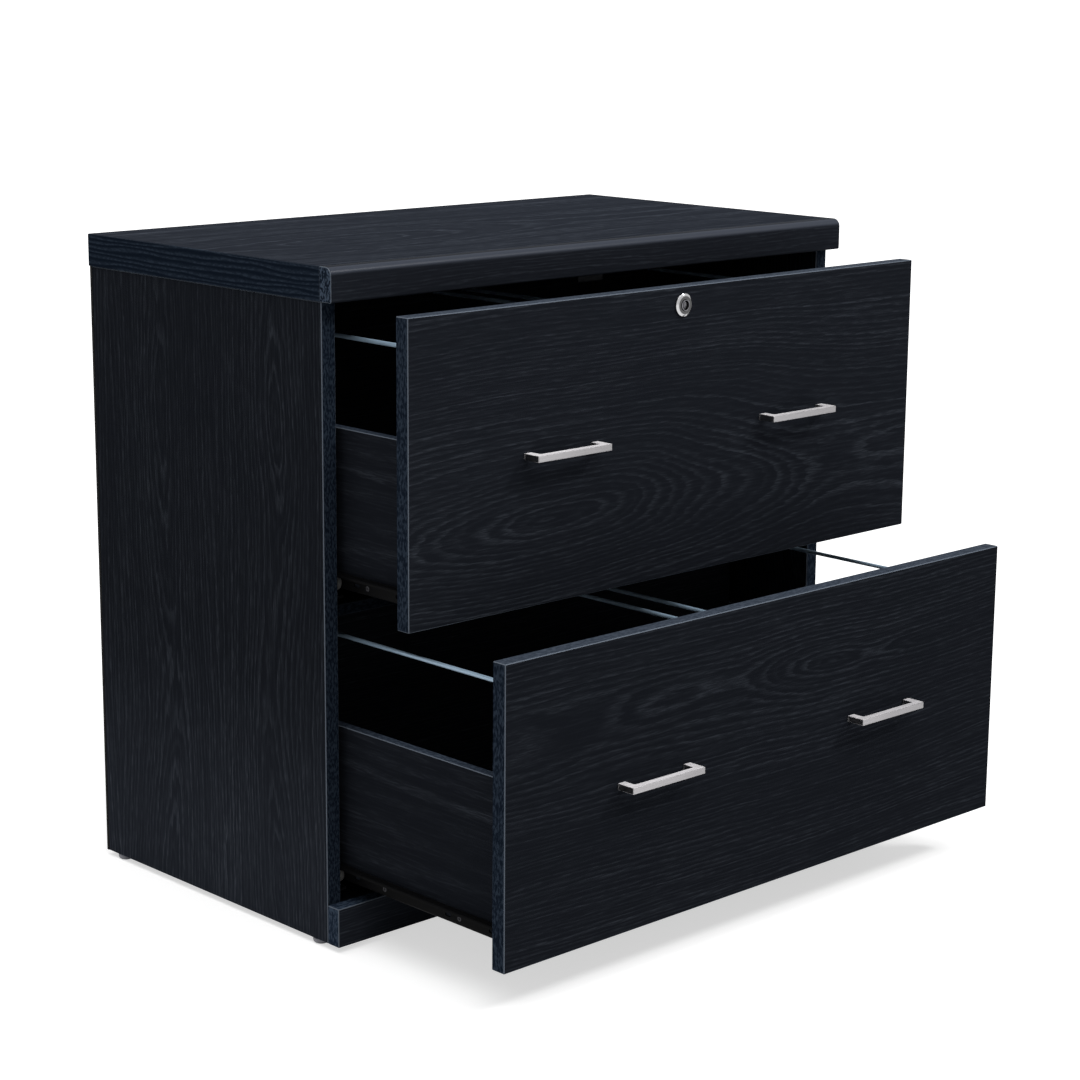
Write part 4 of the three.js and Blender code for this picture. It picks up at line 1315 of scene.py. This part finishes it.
for drawer in DRAWERS:
    for side, hand in SIDES:
        node = f"{drawer}_slide_{side}"
        low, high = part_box(node)
        outer = max(abs(low.x), abs(high.x))
        path = [
            (high.x - low.x, -FLANGE_DROP), (WEB_INSET, -FLANGE_DROP), (WEB_INSET, -half_steel),
            (half_steel, -half_steel), (half_steel, -FLANGE_LIP),
        ]
        mesh = swept(f"{drawer}_rolled_slide_{side}", strip_section(path, SLIDE_STEEL, SLIDE_BEND),
                     lambda a, b, y: (hand * (outer - a), y, high.z + b), low.y, high.y)
        web = Vector((hand * (outer - WEB_INSET), low.y, high.z - SLIDE_SCREW_DROP))
        mesh = pierced(mesh, web, SLIDE_SCREWS, SLIDE_SLOTS)
        for offset in SLIDE_SCREWS:
            screw_places[drawer].append((web + Vector((hand * half_steel, offset, 0)), (hand, 0, 0)))
        stud = stud_mesh(web.x, f"{drawer}_rear_roller_{side}")
        add_piece(joined(mesh.name, [mesh, stud]), black_paint, drawer, (node,))
print("drawer slides", sum(len(screw_places[drawer]) for drawer in DRAWERS), "screw holes")

# %% [markdown]
# ## The back panel
# A thin back is nailed to the edges of the carcase. Its nails sit in small dimples, driven just below the
# face. The dimples are carved into the panel, all by one tool, and the nails come with the screws below.

# %% Back panel
NAIL_INSET = 9 * MM
NAIL_SPACING = 95 * MM
DIMPLE_RADIUS = 2.7 * MM
DIMPLE_FLOOR_RADIUS = 2.16 * MM
DIMPLE_DEPTH = 0.5 * MM


def spaced(start, end, spacing):
    count = round((end - start) / spacing)
    return [start + (end - start) * i / count for i in range(count + 1)]


low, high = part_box("back_panel")
across = spaced(low.x + NAIL_INSET, high.x - NAIL_INSET, NAIL_SPACING)
upward = spaced(low.z + NAIL_INSET, high.z - NAIL_INSET, NAIL_SPACING)
nail_points = [(x, z) for x in across for z in (upward[0], upward[-1])]
nail_points += [(x, z) for z in upward[1:-1] for x in (across[0], across[-1])]
nail_places = [(Vector((x, high.y - DIMPLE_DEPTH, z)), ALONG_Y) for x, z in nail_points]

edges = rectangle(low.x, low.z, high.x, high.z)
panel = swept("nailed_back", edges, lambda x, z, y: (x, y, z), low.y, high.y)
dimple = [
    (0.0, -DIMPLE_DEPTH), (DIMPLE_FLOOR_RADIUS, -DIMPLE_DEPTH), (DIMPLE_RADIUS, DIMPLE_DEPTH),
    (0.0, DIMPLE_DEPTH),
]
dimples = [turned("dimple", dimple, (x, high.y, z), ALONG_Y, steps=16) for x, z in nail_points]
panel = carve(panel, joined("dimples", dimples))
add_piece(panel, hardboard, "carcase", ("back_panel",))
print("nails", len(nail_places))

# %% [markdown]
# ## Screws and nails
# The same few fasteners come back many times, so each kind is modelled once and Geometry Nodes copy it to a
# cloud of points. Every point carries the direction that its head faces. The tree turns the head to that
# direction, spins it by a random angle, because nobody lines up screw slots, and makes the copies real. The
# points are worked out from the pieces that the fasteners hold.

# %% Fastener tree
heads, given = node_tree("heads_on_points", [
    ("Head", "NodeSocketObject"), ("Seed", "NodeSocketInt"), ("Material", "NodeSocketMaterial"),
])
shape = wire(heads, "GeometryNodeObjectInfo", {"Object": given["Head"]}, out="Geometry")
facing = wire(heads, "GeometryNodeInputNamedAttribute", {"Name": "facing"}, data_type="FLOAT_VECTOR")
turn = wire(heads, "FunctionNodeAlignRotationToVector", {"Vector": facing}, axis="Z")
any_angle = {2: 0.0, 3: math.tau, "Seed": given["Seed"]}  # inputs 2 and 3 are the limits
angle = wire(heads, "FunctionNodeRandomValue", any_angle, out=1, data_type="FLOAT")
spin = wire(heads, "FunctionNodeAxisAngleToRotation", {"Axis": UP, "Angle": angle})
both = {"Rotation": turn, "Rotate By": spin}
turn = wire(heads, "FunctionNodeRotateRotation", both, rotation_space="LOCAL")
copies = {"Points": given["Geometry"], "Instance": shape, "Rotation": turn}
close_tree(heads, wire(heads, "GeometryNodeInstanceOnPoints", copies), given["Material"])

# %% Fastener helpers
HEAD_CREASE = 35  # degrees


def facing_points(name, places):
    mesh = bpy.data.meshes.new(name)
    mesh.from_pydata([tuple(point) for point, _ in places], [], [])
    facing = mesh.attributes.new("facing", "FLOAT_VECTOR", "POINT")
    for item, (_, direction) in zip(facing.data, places):
        item.vector = direction
    return mesh


def add_fasteners(name, places, head, material, body, seed):
    model = bpy.data.objects.new(f"{name}_model", head)
    bpy.context.scene.collection.objects.link(model)
    values = {"Head": model, "Seed": seed, "Material": material}
    mesh = run_tree(name, facing_points(f"{name}_points", places), heads, values)
    bpy.data.objects.remove(model)
    add_piece(shaded(mesh, HEAD_CREASE), material, body)
    print(name, len(places), "heads", len(mesh.polygons), "faces")


print("fastener helpers ready")

# %% [markdown]
# A screw head is a low dome with a cross recess. Boolean cuts could sink the cross, but the dome is already
# a net of rings and spokes, so it is enough to push down the points that lie in the cross.

# %% Fastener heads
HEAD_RINGS = 8
HEAD_SPOKES = 32
CROSS_REACH = 0.6  # of the head's radius
SCREW_HEADS = {  # millimetres, with heights above the seat
    "flush_head": dict(radius=2.7, top=-0.05, edge=-0.1, foot=-1.1, cross_width=0.9, cross_depth=0.7),
    "pan_head": dict(radius=4.0, top=2.2, edge=1.2, foot=-0.2, cross_width=1.1, cross_depth=1.3),
    "cam_disc": dict(radius=7.4, top=0.5, edge=0.4, foot=-0.3, cross_width=2.0, cross_depth=0.35),
    "small_head": dict(radius=3.0, top=1.3, edge=0.7, foot=-0.2, cross_width=0.9, cross_depth=0.8),
}
NAIL_PROFILE = [(0.0, 0.3 * MM), (1.4 * MM, 0.2 * MM), (2.0 * MM, 0.0), (0.0, -0.2 * MM)]


def head_mesh(name, radius, top, edge, foot, cross_width, cross_depth):
    """A head with a cross recess: its top is highest in the middle, and its side runs down to foot."""
    points = [(0.0, 0.0, top - cross_depth)]
    for ring in range(1, HEAD_RINGS + 1):
        share = ring / HEAD_RINGS
        for spoke in range(HEAD_SPOKES):
            angle = math.tau * spoke / HEAD_SPOKES
            x, y = radius * share * math.cos(angle), radius * share * math.sin(angle)
            sunk = share < CROSS_REACH and min(abs(x), abs(y)) < cross_width / 2
            points.append((x, y, edge + (top - edge) * (1 - share ** 2) - (cross_depth if sunk else 0.0)))
    points += [(x, y, foot) for x, y, _ in points[-HEAD_SPOKES:]]
    points.append((0.0, 0.0, foot))
    faces = []
    for spoke in range(HEAD_SPOKES):
        following = (spoke + 1) % HEAD_SPOKES
        faces.append((0, 1 + spoke, 1 + following))
        for ring in range(HEAD_RINGS):
            here = 1 + ring * HEAD_SPOKES
            there = here + HEAD_SPOKES
            faces.append((here + spoke, there + spoke, there + following, here + following))
        last = 1 + HEAD_RINGS * HEAD_SPOKES
        faces.append((last + spoke, len(points) - 1, last + following))
    return finished_mesh(name, points, faces)


models = {"nail_head": turned("nail_head", NAIL_PROFILE, (0, 0, 0), UP, steps=16)}
for name, sizes in SCREW_HEADS.items():
    models[name] = head_mesh(name, **{key: size * MM for key, size in sizes.items()})
print("heads", {name: len(mesh.polygons) for name, mesh in models.items()})

# %% Fasteners on the carcase
STRIKE_SCREW_X = 12 * MM

low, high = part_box("lock_strike")
strike_y, strike_z = (low.y + high.y) / 2, high.z - STRIKE_STEEL
strike_places = [(Vector((x, strike_y, strike_z)), (0, 0, -1)) for x in (-STRIKE_SCREW_X, STRIKE_SCREW_X)]
add_fasteners("strike_screws", strike_places, models["small_head"], zinc, "carcase", seed=1)
add_fasteners("channel_screws", screw_places["carcase"], models["flush_head"], dull_zinc, "carcase", seed=2)
add_fasteners("back_nails", nail_places, models["nail_head"], dull_zinc, "carcase", seed=3)

# %% Fasteners on the drawers
HANDLE_PITCH = 96 * MM
CAM_SETBACK = 34 * MM  # from the drawer front to the middle of a cam fitting
SIDE_HEIGHTS = (0.28, 0.78)  # of a drawer side's height
FIRST_SEED = 4
SCREW_SEEDS = 10  # added to a drawer's seed
FITTING_SEEDS = 20

for seed, drawer in enumerate(DRAWERS, start=FIRST_SEED):
    slide_screws = screw_places[drawer]
    add_fasteners(f"{drawer}_slide_screws", slide_screws, models["flush_head"], dull_zinc, drawer, seed)
    front_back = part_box(f"{drawer}_front")[1].y
    pans = []
    cams = []
    for side, hand in SIDES:
        low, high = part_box(f"{drawer}_handle_{side}")
        middle = (low + high) / 2
        for shift in (-HANDLE_PITCH / 2, HANDLE_PITCH / 2):
            pans.append((Vector((middle.x + shift, front_back, middle.z)), ALONG_Y))
        low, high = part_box(f"{drawer}_side_{side}")
        back_low, back_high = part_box(f"{drawer}_back")
        inner, outer = sorted((abs(low.x), abs(high.x)))
        for share in SIDE_HEIGHTS:
            z = low.z + share * (high.z - low.z)
            pans.append((Vector((hand * outer, (back_low.y + back_high.y) / 2, z)), (hand, 0, 0)))
            cams.append((Vector((hand * inner, low.y + CAM_SETBACK, z)), (-hand, 0, 0)))
    add_fasteners(f"{drawer}_screws", pans, models["pan_head"], zinc, drawer, seed + SCREW_SEEDS)
    add_fasteners(f"{drawer}_cam_fittings", cams, models["cam_disc"], zinc, drawer, seed + FITTING_SEEDS)

# %% [markdown]
# ## Size
# The dressed cabinet has to be as large as its frame, so both boxes are gathered side by side.

# %% The sizes
low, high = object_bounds()
sizes = {
    "cad": [list(cad_low), list(cad_high)],
    "visual": [list(low), list(high)],
}
print("visual box", [round(v, 4) for v in high - low])
